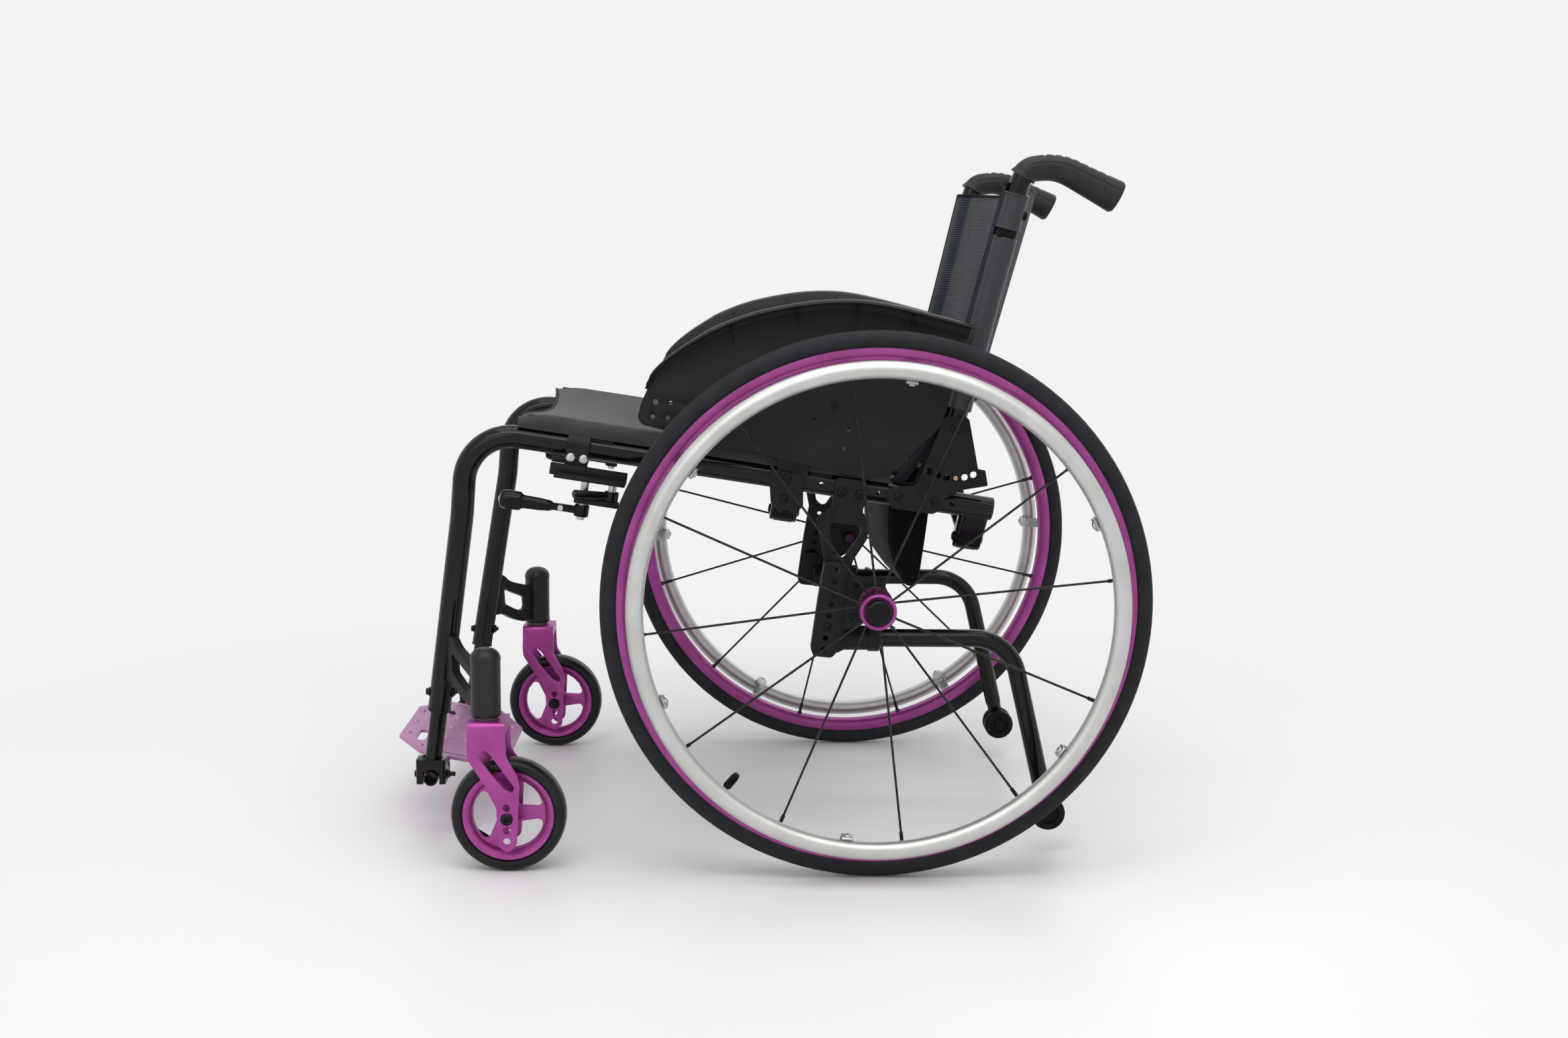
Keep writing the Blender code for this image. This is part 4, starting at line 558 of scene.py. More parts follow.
def add(tree, kind, **settings):
    """New node; a setting goes to the socket of its name or to the node."""
    item = tree.nodes.new("ShaderNode" + kind)
    for key, value in settings.items():
        if key in item.inputs:
            item.inputs[key].default_value = value
        else:
            setattr(item, key, value)
    return item


def wire(tree, source, output, target, socket):
    tree.links.new(source.outputs[output], target.inputs[socket])


def tones(tree, source, output, dark, light, low=0.3, high=0.7):
    """Two tones of one colour, driven by a pattern."""
    ramp = add(tree, "ValToRGB")
    ramp.color_ramp.elements[0].position = low
    ramp.color_ramp.elements[1].position = high
    ramp.color_ramp.elements[0].color = (*dark, 1)
    ramp.color_ramp.elements[1].color = (*light, 1)
    wire(tree, source, output, ramp, "Fac")
    return ramp


def spread(tree, source, output, low, high):
    """Bring a pattern from 0 to 1 into a range."""
    item = add(tree, "MapRange")
    item.inputs["To Min"].default_value = low
    item.inputs["To Max"].default_value = high
    wire(tree, source, output, item, "Value")
    return item


def surface(tree, shader, ramp, gloss, pattern, output, relief, depth):
    """Wire the colour, the gloss and the relief of a pattern into the shader."""
    wire(tree, ramp, "Color", shader, "Base Color")
    wire(tree, gloss, "Result", shader, "Roughness")
    bump = add(tree, "Bump", Strength=relief, Distance=depth)
    wire(tree, pattern, output, bump, "Height")
    wire(tree, bump, "Normal", shader, "Normal")


def painted(name, dark, light, rough, mottle, grain, relief, metal=0.0, specular=0.5):
    """Coat with a slow change of tone, a change of gloss and a fine grain."""
    coat, tree, shader = new_finish(name)
    where = add(tree, "TexCoord")
    slow = add(tree, "TexNoise", Scale=mottle, Detail=4.0, Roughness=0.55)
    fine = add(tree, "TexNoise", Scale=grain, Detail=3.0, Roughness=0.6)
    wire(tree, where, "Object", slow, "Vector")
    wire(tree, where, "Object", fine, "Vector")
    ramp = tones(tree, slow, "Fac", dark, light)
    gloss = spread(tree, slow, "Fac", rough * 0.85, min(1, rough * 1.18))
    surface(tree, shader, ramp, gloss, fine, "Fac", relief, 0.0004)
    shader.inputs["Metallic"].default_value = metal
    shader.inputs["Specular IOR Level"].default_value = specular
    return coat


def lathe_finish(name, dark, light, rough, metal, relief):
    """Metal with fine turning rings about the rear axle."""
    coat, tree, shader = new_finish(name)
    where = add(tree, "TexCoord")
    shift = add(tree, "Mapping")
    shift.inputs["Location"].default_value = [-value for value in WHEEL_CENTRE]
    flat = add(tree, "VectorMath", operation="MULTIPLY")
    flat.inputs[1].default_value = (0, 1, 1)
    size = add(tree, "VectorMath", operation="LENGTH")
    rings = add(tree, "TexNoise", noise_dimensions="1D", Scale=1400, Detail=3.0)
    cloud = add(tree, "TexNoise", Scale=26, Detail=3.0)
    wire(tree, where, "Object", shift, "Vector")
    wire(tree, shift, "Vector", flat, 0)
    wire(tree, flat, "Vector", size, 0)
    wire(tree, size, "Value", rings, "W")
    wire(tree, where, "Object", cloud, "Vector")
    ramp = tones(tree, cloud, "Fac", dark, light)
    gloss = spread(tree, rings, "Fac", rough * 0.8, rough * 1.25)
    surface(tree, shader, ramp, gloss, rings, "Fac", relief, 0.0002)
    shader.inputs["Metallic"].default_value = metal
    return coat


def woven_finish(name, dark, light, across, length, rough, relief, sheen, ribs=1.0):
    """Cloth woven in both directions along its own width and length."""
    coat, tree, shader = new_finish(name)
    where = add(tree, "TexCoord")
    warp = add(tree, "TexWave", wave_type="BANDS", bands_direction="X", Scale=across / 2,
               Distortion=0.3)
    weft = add(tree, "TexWave", wave_type="BANDS", bands_direction="Y", Scale=length / 2,
               Distortion=0.3)
    cloud = add(tree, "TexNoise", Scale=9, Detail=5.0)
    for item in (warp, weft, cloud):
        wire(tree, where, "UV", item, "Vector")
    mix = add(tree, "Math", operation="MULTIPLY_ADD")
    mix.inputs[1].default_value = ribs
    wire(tree, weft, "Fac", mix, 0)
    wire(tree, warp, "Fac", mix, 2)
    level = add(tree, "Math", operation="MULTIPLY_ADD")
    level.inputs[1].default_value = 0.30
    wire(tree, mix, "Value", level, 0)
    wire(tree, cloud, "Fac", level, 2)
    ramp = tones(tree, level, "Value", dark, light, 0.45, 1.05)
    gloss = spread(tree, cloud, "Fac", rough * 0.85, rough * 1.15)
    surface(tree, shader, ramp, gloss, mix, "Value", relief, 0.0005)
    shader.inputs["Specular IOR Level"].default_value = 0.18
    shader.inputs["Sheen Weight"].default_value = sheen
    shader.inputs["Sheen Roughness"].default_value = 0.4
    return coat


GLOSS = painted("gloss_black_paint", (0.0030, 0.0030, 0.0034), (0.0060, 0.0060, 0.0066), 0.13,
                mottle=18, grain=240, relief=0.03, specular=0.26)
SATIN = painted("satin_black_plate", (0.0085, 0.0085, 0.0095), (0.0150, 0.0150, 0.0162), 0.40,
                mottle=70, grain=2200, relief=0.12, specular=0.15)
GUARD = painted("guard_black_laminate", (0.0150, 0.0152, 0.0158), (0.0215, 0.0218, 0.0225), 0.36,
                mottle=22, grain=1500, relief=0.07, specular=0.14)
PURPLE = painted("purple_anodised_parts", (0.33, 0.058, 0.250), (0.43, 0.085, 0.33), 0.38,
                 metal=0.80, mottle=30, grain=1800, relief=0.10, specular=0.3)
# darker purple for the hub's barrel and inner flange: painted shade, since they face the chair
# and sit in shadow
HUB_PAINTED_SHADE = painted("hub_purple_painted_shade", (0.070, 0.014, 0.050), (0.040, 0.008, 0.028), 0.20,
                   metal=0.55, mottle=60, grain=1800, relief=0.04, specular=0.2)
RIM_PURPLE = lathe_finish("purple_anodised_rim", (0.29, 0.052, 0.22), (0.38, 0.078, 0.29), 0.34,
                          0.82, 0.05)
# footplate purple: partly the plate's own tone, partly a painted reflection of the white
# surroundings that lightens it
PURPLE_WITH_PAINTED_REFLECTION = painted("footplate_purple_painted_reflection", (0.43, 0.20, 0.37), (0.52, 0.26, 0.46), 0.40,
                      metal=0.55, mottle=30, grain=1600, relief=0.14)
SILVER = lathe_finish("silver_anodised_handrim", (0.54, 0.54, 0.52), (0.63, 0.63, 0.61), 0.42,
                      0.90, 0.03)
TAB = painted("satin_steel_tab", (0.36, 0.36, 0.36), (0.48, 0.48, 0.47), 0.36, metal=0.9,
              mottle=120, grain=2600, relief=0.06)
STEEL = painted("bright_steel", (0.42, 0.42, 0.42), (0.58, 0.58, 0.57), 0.24, metal=1.0,
                mottle=120, grain=3000, relief=0.05)
BLACK_STEEL = painted("black_steel_screw", (0.008, 0.008, 0.009), (0.022, 0.022, 0.023), 0.32,
                      metal=0.4, mottle=200, grain=3000, relief=0.08, specular=0.14)
SPOKE = painted("dark_spoke_steel", (0.016, 0.0145, 0.0150), (0.042, 0.0385, 0.0390), 0.30,
                metal=0.7, mottle=160, grain=2600, relief=0.04, specular=0.15)
TYRE = painted("tyre_rubber", (0.0170, 0.0185, 0.0205), (0.0260, 0.0280, 0.0310), 0.60, mottle=55,
               grain=1500, relief=0.22, specular=0.12)
CASTOR_TYRE = painted("castor_rubber", (0.0085, 0.0088, 0.0095), (0.0150, 0.0155, 0.0165), 0.30,
                      mottle=60, grain=1100, relief=0.06, specular=0.20)
GRIP = painted("grip_rubber", (0.0170, 0.0172, 0.0180), (0.0270, 0.0275, 0.0290), 0.46, mottle=80,
               grain=2400, relief=0.30, specular=0.22)
VINYL = painted("sleeve_vinyl", (0.0260, 0.0275, 0.0310), (0.0380, 0.0400, 0.0450), 0.36,
                mottle=90, grain=1300, relief=0.35, specular=0.35)
FLAP = painted("flap_vinyl", (0.0050, 0.0050, 0.0056), (0.0095, 0.0096, 0.0105), 0.50,
               mottle=26, grain=700, relief=0.20, specular=0.04)
PLASTIC = painted("black_moulded_plastic", (0.0050, 0.0050, 0.0056), (0.0100, 0.0100, 0.0108),
                  0.33, mottle=90, grain=1700, relief=0.14, specular=0.10)
CAP = painted("black_hub_cap", (0.0025, 0.0025, 0.0030), (0.0050, 0.0050, 0.0056), 0.11,
              mottle=60, grain=900, relief=0.02, specular=0.18)
HOUSING = painted("satin_black_housing", (0.0170, 0.0172, 0.0182), (0.0250, 0.0254, 0.0266), 0.34,
                  mottle=40, grain=1500, relief=0.08, specular=0.22)
BRASS = painted("brass_pin", (0.42, 0.30, 0.13), (0.54, 0.41, 0.21), 0.3, metal=1.0, mottle=150,
                grain=2600, relief=0.05)
WASHER = painted("grey_washer", (0.16, 0.15, 0.16), (0.24, 0.23, 0.24), 0.4, metal=0.6,
                 mottle=120, grain=2000, relief=0.05)
SEAT_CLOTH = woven_finish("seat_nylon", (0.0120, 0.0125, 0.0135), (0.0440, 0.0450, 0.0470), 420,
                          380, rough=0.46, relief=0.30, sheen=0.15)
BACK_CLOTH = woven_finish("back_spacer_mesh", (0.0100, 0.0118, 0.0185), (0.0430, 0.0490, 0.0700),
                          168, 74, rough=0.80, relief=0.9, ribs=1.9, sheen=0.25)
PIPING = painted("edge_binding", (0.0065, 0.0066, 0.0072), (0.0130, 0.0132, 0.0140), 0.6,
                 mottle=300, grain=2600, relief=0.5, specular=0.10)


# Rear wheels

def wheel_turn(degrees):
    """Turn about the rear axle."""
    centre = Matrix.Translation((0, 0, WHEEL_R))
    return centre @ Matrix.Rotation(radians(degrees), 4, "X") @ centre.inverted()


def both_halves(half):
    """A wheel's profile from its right half; the left half mirrors it."""
    return half + [(-offset, radius) for offset, radius in reversed(half)]


def make_rear_wheels():
    """Tyre, rim, hub, spokes, handrim, button and valve."""
    hub_place = toward_x(WHEEL_X, 0, WHEEL_R)
    rear = ("rear_wheel_left", "rear_wheel_right")

    tread = both_halves([
        (0.0002, 0.2950), (0.0034, 0.2948), (0.0037, 0.2940), (0.0042, 0.2940), (0.0045, 0.2944),
        (0.0072, 0.2934), (0.0093, 0.2920), (0.0096, 0.2912), (0.0101, 0.2912), (0.0105, 0.2908),
        (0.0119, 0.2884), (0.0125, 0.2850), (0.0123, 0.2820), (0.0116, 0.2796), (0.0113, 0.2796),
        (0.0103, 0.2780), (0.0094, 0.2772), (0.0080, 0.2720)])
    fit_pair(turned(tread, hub_place, 144, ring=True), "tyre", *rear, TYRE, "rear_tyre",
             "rear_tyre")

    shell = both_halves([
        (0.0025, 0.2620), (0.0055, 0.2625), (0.0082, 0.2645), (0.0096, 0.2676), (0.0101, 0.2690),
        (0.0101, 0.2755), (0.0098, 0.2768), (0.0090, 0.2771), (0.0085, 0.2765), (0.0083, 0.2706)])
    fit_pair(turned(shell, hub_place, 144, ring=True), "rim", *rear, RIM_PURPLE,
             "purple_anodised", "rear_rim")

    face = turned([
        (0.0172, 0.0146), (0.0178, 0.0176), (0.0187, 0.0192), (0.0225, 0.0197),
        (0.0252, 0.0195), (0.0268, 0.0189), (0.0275, 0.0178), (0.0272, 0.0163),
        (0.0262, 0.0148), (0.0225, 0.0143)], hub_place, 64)
    inner = turned([(-0.0278, 0.0112), (-0.0270, 0.0150), (-0.0222, 0.0178), (-0.0213, 0.0192),
                    (-0.0187, 0.0192), (-0.0180, 0.0180), (-0.0172, 0.0146)], hub_place, 64)
    fit_pair(face, "hub_face", *rear, PURPLE, "purple_anodised", smooth=40)
    # barrel and inner flange take the darker purple, which is painted shade
    barrel = turned([
        (-0.0675, 0.0054), (-0.0668, 0.0063), (-0.0285, 0.0063), (-0.0280, 0.0105),
        (-0.0200, 0.0110), (-0.0176, 0.0144), (-0.0130, 0.0135), (0.0130, 0.0135),
        (0.0174, 0.0146)], hub_place, 64)
    fit_pair(together([barrel, inner]), "hub_barrel", *rear, HUB_PAINTED_SHADE, "purple_anodised",
             "rear_hub", smooth=30)

    spokes = []
    heads = []
    for i in range(SPOKES):
        side = 1 if i % 2 else -1
        turn = wheel_turn(SPOKE_START + 360 // SPOKES * i)
        start = Vector((WHEEL_X + side * 0.0185, 0.0150, WHEEL_R))
        end = Vector((WHEEL_X, RIM_BED_R - 0.0004, WHEEL_R))
        length = (end - start).length
        spoke = turned([(0, 0.0011), (0.004, 0.0013), (length - 0.0140, 0.0013),
                        (length - 0.0132, 0.0021), (length - 0.0022, 0.0021),
                        (length - 0.0014, 0.0030), (length, 0.0032)], along(start, end), 10)
        spoke.data.transform(turn)
        spokes.append(spoke)
        if side < 0:
            head = turned([(0, 0.0021), (0.0006, 0.0020), (0.0011, 0.0012)],
                          along((WHEEL_X - 0.0213, 0.0166, WHEEL_R),
                                (WHEEL_X - 0.03, 0.0166, WHEEL_R)), 12)
            head.data.transform(turn)
            heads.append(head)
    fit_pair(together(spokes), "spokes", *rear, SPOKE, "purple_anodised", turn=RIGHT_WHEEL_TURN)
    fit_pair(together(heads), "spoke_heads", *rear, STEEL, "purple_anodised",
             turn=RIGHT_WHEEL_TURN)

    cap = turned([(0.0255, 0.0128), (0.0257, 0.0137), (0.0288, 0.0138), (0.0306, 0.0133),
                  (0.0320, 0.0118), (0.0329, 0.0092), (0.0333, 0.0060), (0.0335, 0.0025)],
                 hub_place, 48)
    fit_pair(cap, "hub_cap", "button_left", "button_right", CAP, "cap_plastic",
             "quick_release_button", smooth=60)

    section = [(HANDRIM_X + HOOP_BAR_R * sin(a), HANDRIM_R + HOOP_BAR_R * cos(a))
               for a in [2 * pi * i / 20 for i in range(20)]]
    fit_pair(turned(section, hub_place, 144, ring=True), "hand_hoop", *rear, SILVER,
             "handrim_silver", "handrim", smooth=80)

    tabs = []
    screws = []
    outline = rounded([(0.0020, 0.2622), (0.0085, 0.2612), (0.0175, 0.2475), (0.0270, 0.2420),
                       (0.0385, 0.2425), (0.0400, 0.2462), (0.0290, 0.2452), (0.0205, 0.2500),
                       (0.0110, 0.2645), (0.0020, 0.2650)], 0.0030, radians(25))
    upright = Matrix(((1, 0, 0, WHEEL_X), (0, 0, 1, 0), (0, 1, 0, WHEEL_R), (0, 0, 0, 1)))
    for i in range(TABS):
        turn = wheel_turn(TAB_START + 360 // TABS * i)
        tab = plate(outline, 0.0125, upright, edge=0.0011)
        tab.data.transform(turn)
        tabs.append(tab)
        for radius, height, (x, z), (to_x, to_z) in (
                (0.0038, 0.0022, (0.0340, 0.2425), (0.0345, 0.2300)),
                (0.0028, 0.0016, (0.0152, 0.2508), (0.0100, 0.2475))):
            screw = button_screw(radius, height, along((WHEEL_X + x, 0, WHEEL_R + z),
                                                       (WHEEL_X + to_x, 0, WHEEL_R + to_z)))
            screw.data.transform(turn)
            screws.append(screw)
    fit_pair(together(tabs), "hoop_tabs", *rear, TAB, "handrim_silver", turn=RIGHT_WHEEL_TURN)
    fit_pair(together(screws), "hoop_screws", *rear, STEEL, "handrim_silver",
             turn=RIGHT_WHEEL_TURN)

    way = Vector((0.0, cos(radians(VALVE_PLACE)), sin(radians(VALVE_PLACE))))
    foot = Vector((WHEEL_X, 0, WHEEL_R)) + way * 0.2625
    tip = foot - way * 0.029 + Vector((0.004, 0, 0))
    valve = turned([(0, 0.0062), (0.0022, 0.0062), (0.0024, 0.0034), (0.0100, 0.0032),
                    (0.0102, 0.0045), (0.0130, 0.0047), (0.0240, 0.0045), (0.0262, 0.0040),
                    (0.0290, 0.0030)], along(foot, tip), 24)
    fit_pair(valve, "valve", *rear, PLASTIC, "rear_tyre", turn=RIGHT_VALVE_TURN)


# Castors

def make_castors():
    """Castor wheels and forks, their barrels and the brackets to the front legs."""
    swivel = ("castor_swivel_left", "castor_swivel_right")
    wheel = ("castor_wheel_left", "castor_wheel_right")
    place = toward_x(CASTOR_X, CASTOR_Y, CASTOR_R)

    tyre = both_halves([(0.0002, 0.0625), (0.0045, 0.0624), (0.0085, 0.0616), (0.0115, 0.0600),
                        (0.0134, 0.0576), (0.0140, 0.0548), (0.0137, 0.0524), (0.0124, 0.0508),
                        (0.0104, 0.0503)])
    fit_pair(turned(tyre, place, 96, ring=True), "castor_tread", *wheel, CASTOR_TYRE,
             "castor_tyre", "castor_tyre", smooth=60)

    lip = both_halves([(0.0040, 0.0402), (0.0062, 0.0408), (0.0080, 0.0420), (0.0095, 0.0446),
                       (0.0100, 0.0455), (0.0105, 0.0466), (0.0107, 0.0494), (0.0100, 0.0501)])
    ring = turned(lip, place, 96, ring=True)
    # three windows, each a list of (radius, angle from its middle, fillet)
    windows = []
    for i in range(3):
        middle = 2 * pi * (i + 0.52) / 3
        corners = []
        for radius, turn, fillet in (
                (0.0150, 0.44, 0.0045), (0.0150, -0.44, 0.0045), (0.0394, -0.90, 0.0085),
                (0.0394, -0.45, 0), (0.0394, -0.22, 0), (0.0394, 0, 0), (0.0394, 0.22, 0),
                (0.0394, 0.45, 0), (0.0394, 0.90, 0.0085)):
            corners.append((radius * cos(middle + turn), radius * sin(middle + turn), fillet))
        windows.append(rounded(corners, 0, radians(12)))
    web = plate(hole(0, 0, 0.0412, 72), 0.0080, side_plane(0), windows, edge=0.0012)
    web.data.transform(Matrix.Translation((CASTOR_X, CASTOR_Y, CASTOR_R)))
    boss = turned([(-0.0201, 0.0074), (-0.0196, 0.0082), (-0.0100, 0.0086), (-0.0070, 0.0115),
                   (-0.0040, 0.0125), (0.0040, 0.0125), (0.0070, 0.0115), (0.0100, 0.0086),
                   (0.0196, 0.0082), (0.0201, 0.0074)], place, 40)
    fit_pair(together([ring, web, boss]), "castor_wheel_body", *wheel, PURPLE,
             "purple_anodised", "castor_hub", smooth=32)

    y, w, top = PIVOT_Y, CASTOR_Y, 0.1685
    outline = rounded([
        (y - 0.0175, 0.1500, 0), (y - 0.0180, 0.142, 0.02), (y - 0.017, 0.128, 0.012),
        (y, 0.101, 0.02), (y + 0.013, 0.088, 0.02), (w - 0.0105, CASTOR_R, 0.03),
        (w - 0.0095, 0.034), (w, 0.0235, 0.009), (w + 0.0105, 0.033), (w + 0.014, 0.099, 0.014),
        (w + 0.012, 0.111, 0.012), (w, 0.130, 0.014), (w - 0.001, 0.1500, 0),
    ], 0.009, radians(9))
    slot = rounded([(y - 0.0065, 0.131), (y, 0.1395), (y + 0.007, 0.134), (y + 0.0325, 0.098),
                    (y + 0.031, 0.0915), (y + 0.022, 0.0955)], 0.0034, radians(20))
    row = [hole(w, CASTOR_R + step * 0.0125, 0.0041, 24) for step in (1, 0, -1, -2)]
    bridge = rounded([(-0.0245, 0.1498, 0), (-0.0245, top, 0.0055), (0.0245, top, 0.0055),
                      (0.0245, 0.1498, 0), (0.0205, 0.1498, 0), (0.0205, 0.1560, 0.002),
                      (-0.0205, 0.1560, 0.002), (-0.0205, 0.1498, 0)], 0, radians(15))
    middle = (y - 0.0175 + w - 0.001) / 2
    fork = plate(bridge, 0.0405, front_plane(middle))
    fork.data.transform(Matrix.Translation((CASTOR_X, 0, 0)))
    legs = [plate(outline, 0.004, side_plane(CASTOR_X + side * 0.0225), [slot] + row)
            for side in (-1, 1)]
    fork = merge_solids(fork, together(legs))
    ease_edges(fork, 0.0007)
    stem = turned([(0.165, 0.0055), (0.2235, 0.0055)], toward_z(CASTOR_X, y, 0), 24)
    fit_pair(together([fork, stem]), "fork", *swivel, PURPLE, "purple_anodised",
             "castor_fork", smooth=30)
    washer = turned([(0.1684, 0.0128), (0.1687, 0.0132), (0.1699, 0.0132), (0.1702, 0.0118),
                     (0.1711, 0.0115)], toward_z(CASTOR_X, y, 0), 40)
    fit_pair(washer, "fork_washer", *swivel, WASHER, "purple_anodised")

    shaft = turned([(-0.0262, 0.0038), (0.0262, 0.0038)], place, 24)
    head = button_screw(0.0066, 0.0036, toward_x(CASTOR_X + 0.0245, w, CASTOR_R))
    nut = hex_bolt(0.0056, 0.0040, along((CASTOR_X - 0.0245, w, CASTOR_R),
                                         (CASTOR_X - 0.03, w, CASTOR_R)))
    fit_pair(together([shaft, head, nut]), "castor_bolt", *swivel, BLACK_STEEL, "bolt_steel",
             "castor_axle", smooth=30)

    barrel = turned([(0.1713, 0.0146), (0.1716, 0.0160), (0.1725, 0.0165), (0.1775, 0.0165),
                     (0.1777, 0.0162), (0.2322, 0.0162), (0.2325, 0.0150), (0.2340, 0.0150)],
                    toward_z(CASTOR_X, y, 0), 64)
    fit_pair(barrel, "castor_barrel", *SIDES, HOUSING, "frame_black",
             "castor_housing", smooth=30)
    dome = turned([(0.2320, 0.0160), (0.2323, 0.0167), (0.2345, 0.0167), (0.2372, 0.0160),
                   (0.2398, 0.0147), (0.2422, 0.0127), (0.2440, 0.0101), (0.2452, 0.0070),
                   (0.2459, 0.0035), (0.2460, 0.0010)],
                  toward_z(CASTOR_X, y, 0), 64)
    fit_pair(dome, "castor_cap", *SIDES, HOUSING, "frame_black", smooth=60)

    # bracket between the front leg and the castor's barrel
    leg = leg_point(0.2195)
    reach = Vector((CASTOR_X - leg.x, PIVOT_Y - leg.y, 0))
    length = reach.length
    way = reach.normalized()
    arm = Matrix(((way.x, 0, way.y, leg.x), (way.y, 0, -way.x, leg.y), (0, 1, 0, 0),
                  (0, 0, 0, 1)))
    end = length - 0.0150
    outline = rounded([
        (0.006, 0.1935), (0.006, 0.2465), (0.014, 0.2470, 0.006), (0.024, 0.2450, 0.014),
        (0.036, 0.2350, 0.03), (0.052, 0.2300, 0.02), (end - 0.004, 0.2235), (end, 0.222),
        (end, 0.1775), (0.062, 0.1765, 0.01), (0.044, 0.1825, 0.03), (0.022, 0.1935, 0.02)],
        0.003, radians(12))
    window = rounded([
        (0.0245, 0.2290), (0.034, 0.2225), (0.048, 0.2165), (end - 0.012, 0.2085),
        (end - 0.011, 0.1930), (0.058, 0.1915), (0.043, 0.1975), (0.026, 0.2060)], 0.005,
        radians(16))
    web = plate(outline, 0.010, arm, [window], 0.0011)
    fit_pair(web, "castor_arm", *SIDES, SATIN, "matte_black",
             "castor_bracket", smooth=30)
    beads = []
    for side in (-1, 1):
        shift = Vector((way.y, -way.x, 0)) * side * 0.0052
        beads.append(weld_bead([Vector((CASTOR_X, PIVOT_Y, z)) - way * 0.0158 + shift
                                for z in (0.180, 0.220)], 0.0017))
        beads.append(weld_bead([leg_point(z) + way * 0.0118 + shift
                                for z in (0.1950, 0.2460)], 0.0017))
    fit_pair(together(beads), "castor_arm_welds", *SIDES, SATIN, "matte_black")


# Side frames

def make_frames():
    """Seat and leg tubes, the lugs of the braces and the seats of the rails."""
    path = bent([
        (Vector((FRAME_X, 0.130, seat_z(0.130))), 0),
        (Vector((FRAME_X, -0.443, seat_z(-0.443))), 0.052),
        (KNEE, 0.120),
        (LEG_END, 0)], radians(4))
    pipe = tube(path, TUBE_R, 10)
    drills = [turned([(-0.02, 0.0026), (0.02, 0.0026)], toward_x(FRAME_X, y, seat_z(y)), 16)
              for y in (-0.0577, 0.0038, 0.0850)]
    pipe = take_away(pipe, together(drills))
    plug = turned([(-0.002, 0.0118), (0, 0.0126), (0.0012, 0.0118), (0.0016, 0.0090)],
                  along(path[0], path[0] + (path[0] - path[1]).normalized()), 40)
    rim = turned([(0, 0.0120), (0.0003, 0.0131), (0.0025, 0.0131), (0.0030, 0.0127)],
                 along(leg_point(0.1562), leg_point(0.172)), 40)
    fit_pair(together([pipe, plug, rim]), "seat_and_leg_tube", *SIDES, GLOSS, "frame_black",
             "side_frame", smooth=50)

    point = leg_point(0.1775)
    screws = [
        hex_bolt(0.0040, 0.0046, along(point + Vector((0, -0.0124, 0)),
                                       point + Vector((0, -0.03, 0)))),
        hex_bolt(0.0050, 0.0034, along(point + Vector((0, 0.0124, 0)),
                                       point + Vector((0, 0.03, 0)))),
        rod(point + Vector((0, 0.0120, 0)), point + Vector((0, 0.0186, 0)), 0.0026, 16)]
    fit_pair(together(screws), "leg_pin", *SIDES, BLACK_STEEL, "bolt_steel", smooth=30)

    for sign, side, body in ((1, "left", "root"), (-1, "right", "right_side")):
        parts = []
        bolts = []
        shape = link((sign * FRAME_X, 0), 0.0118, (sign * LUG_X, LUG_T), 0.0120)
        # the lug's wall bends round under the brace and up to the seat tube's outer side
        crescent = []
        for inset in (0, 0.0022):
            curve = [(LUG_X + (0.0125 - inset) * cos(a), LUG_T + (0.0125 - inset) * sin(a))
                     for a in [radians(205 + 12.23 * i) for i in range(11)]]
            curve.append((FRAME_X + (0.0118 - inset) * cos(radians(327.3)),
                          (0.0118 - inset) * sin(radians(327.3))))
            crescent += curve if not inset else curve[::-1]
        crescent = [(sign * u, v) for u, v in crescent]
        x = LUG_X * sign
        for station in BRACE_STATIONS:
            s = station + sign * BRACE_STAGGER
            for face in (-1, 1):
                parts.append(plate(shape, 0.005, seat_frame() @ front_plane(s + face * 0.0125),
                                   edge=0.0020))
                bolts.append(button_screw(0.0052, 0.0026,
                                          along(seat_point(x, s + face * 0.0148, LUG_T),
                                                seat_point(x, s + face, LUG_T))))
            parts.append(plate(crescent, 0.0205, seat_frame() @ front_plane(s)))
            bolts.append(rod(seat_point(x, s - 0.0150, LUG_T),
                             seat_point(x, s + 0.0150, LUG_T), 0.0038))
        fit(together(parts), "brace_lugs_" + side, body, GLOSS, "frame_black", smooth=35)
        fit(together(bolts), "brace_lug_bolts_" + side, body, BLACK_STEEL, "bolt_steel",
            smooth=30)

    seats = []
    for s in (-0.300, -0.060):
        shape = [(-0.0105, 0.0060), (-0.0085, 0.0185), (-0.0078, 0.0195)]
        for i in range(11):
            angle = radians(193) + radians(154) * i / 10
            shape.append((0.0069 * cos(angle), RAIL_T + 0.0069 * sin(angle)))
        shape += [(0.0078, 0.0195), (0.0085, 0.0185), (0.0105, 0.0060)]
        shape = [(FRAME_X + u, v) for u, v in shape]
        seats.append(plate(shape, 0.024, seat_frame() @ front_plane(s), edge=0.0005))
    fit_pair(together(seats), "rail_seats", *SIDES, PLASTIC, "matte_black")


# Cross braces

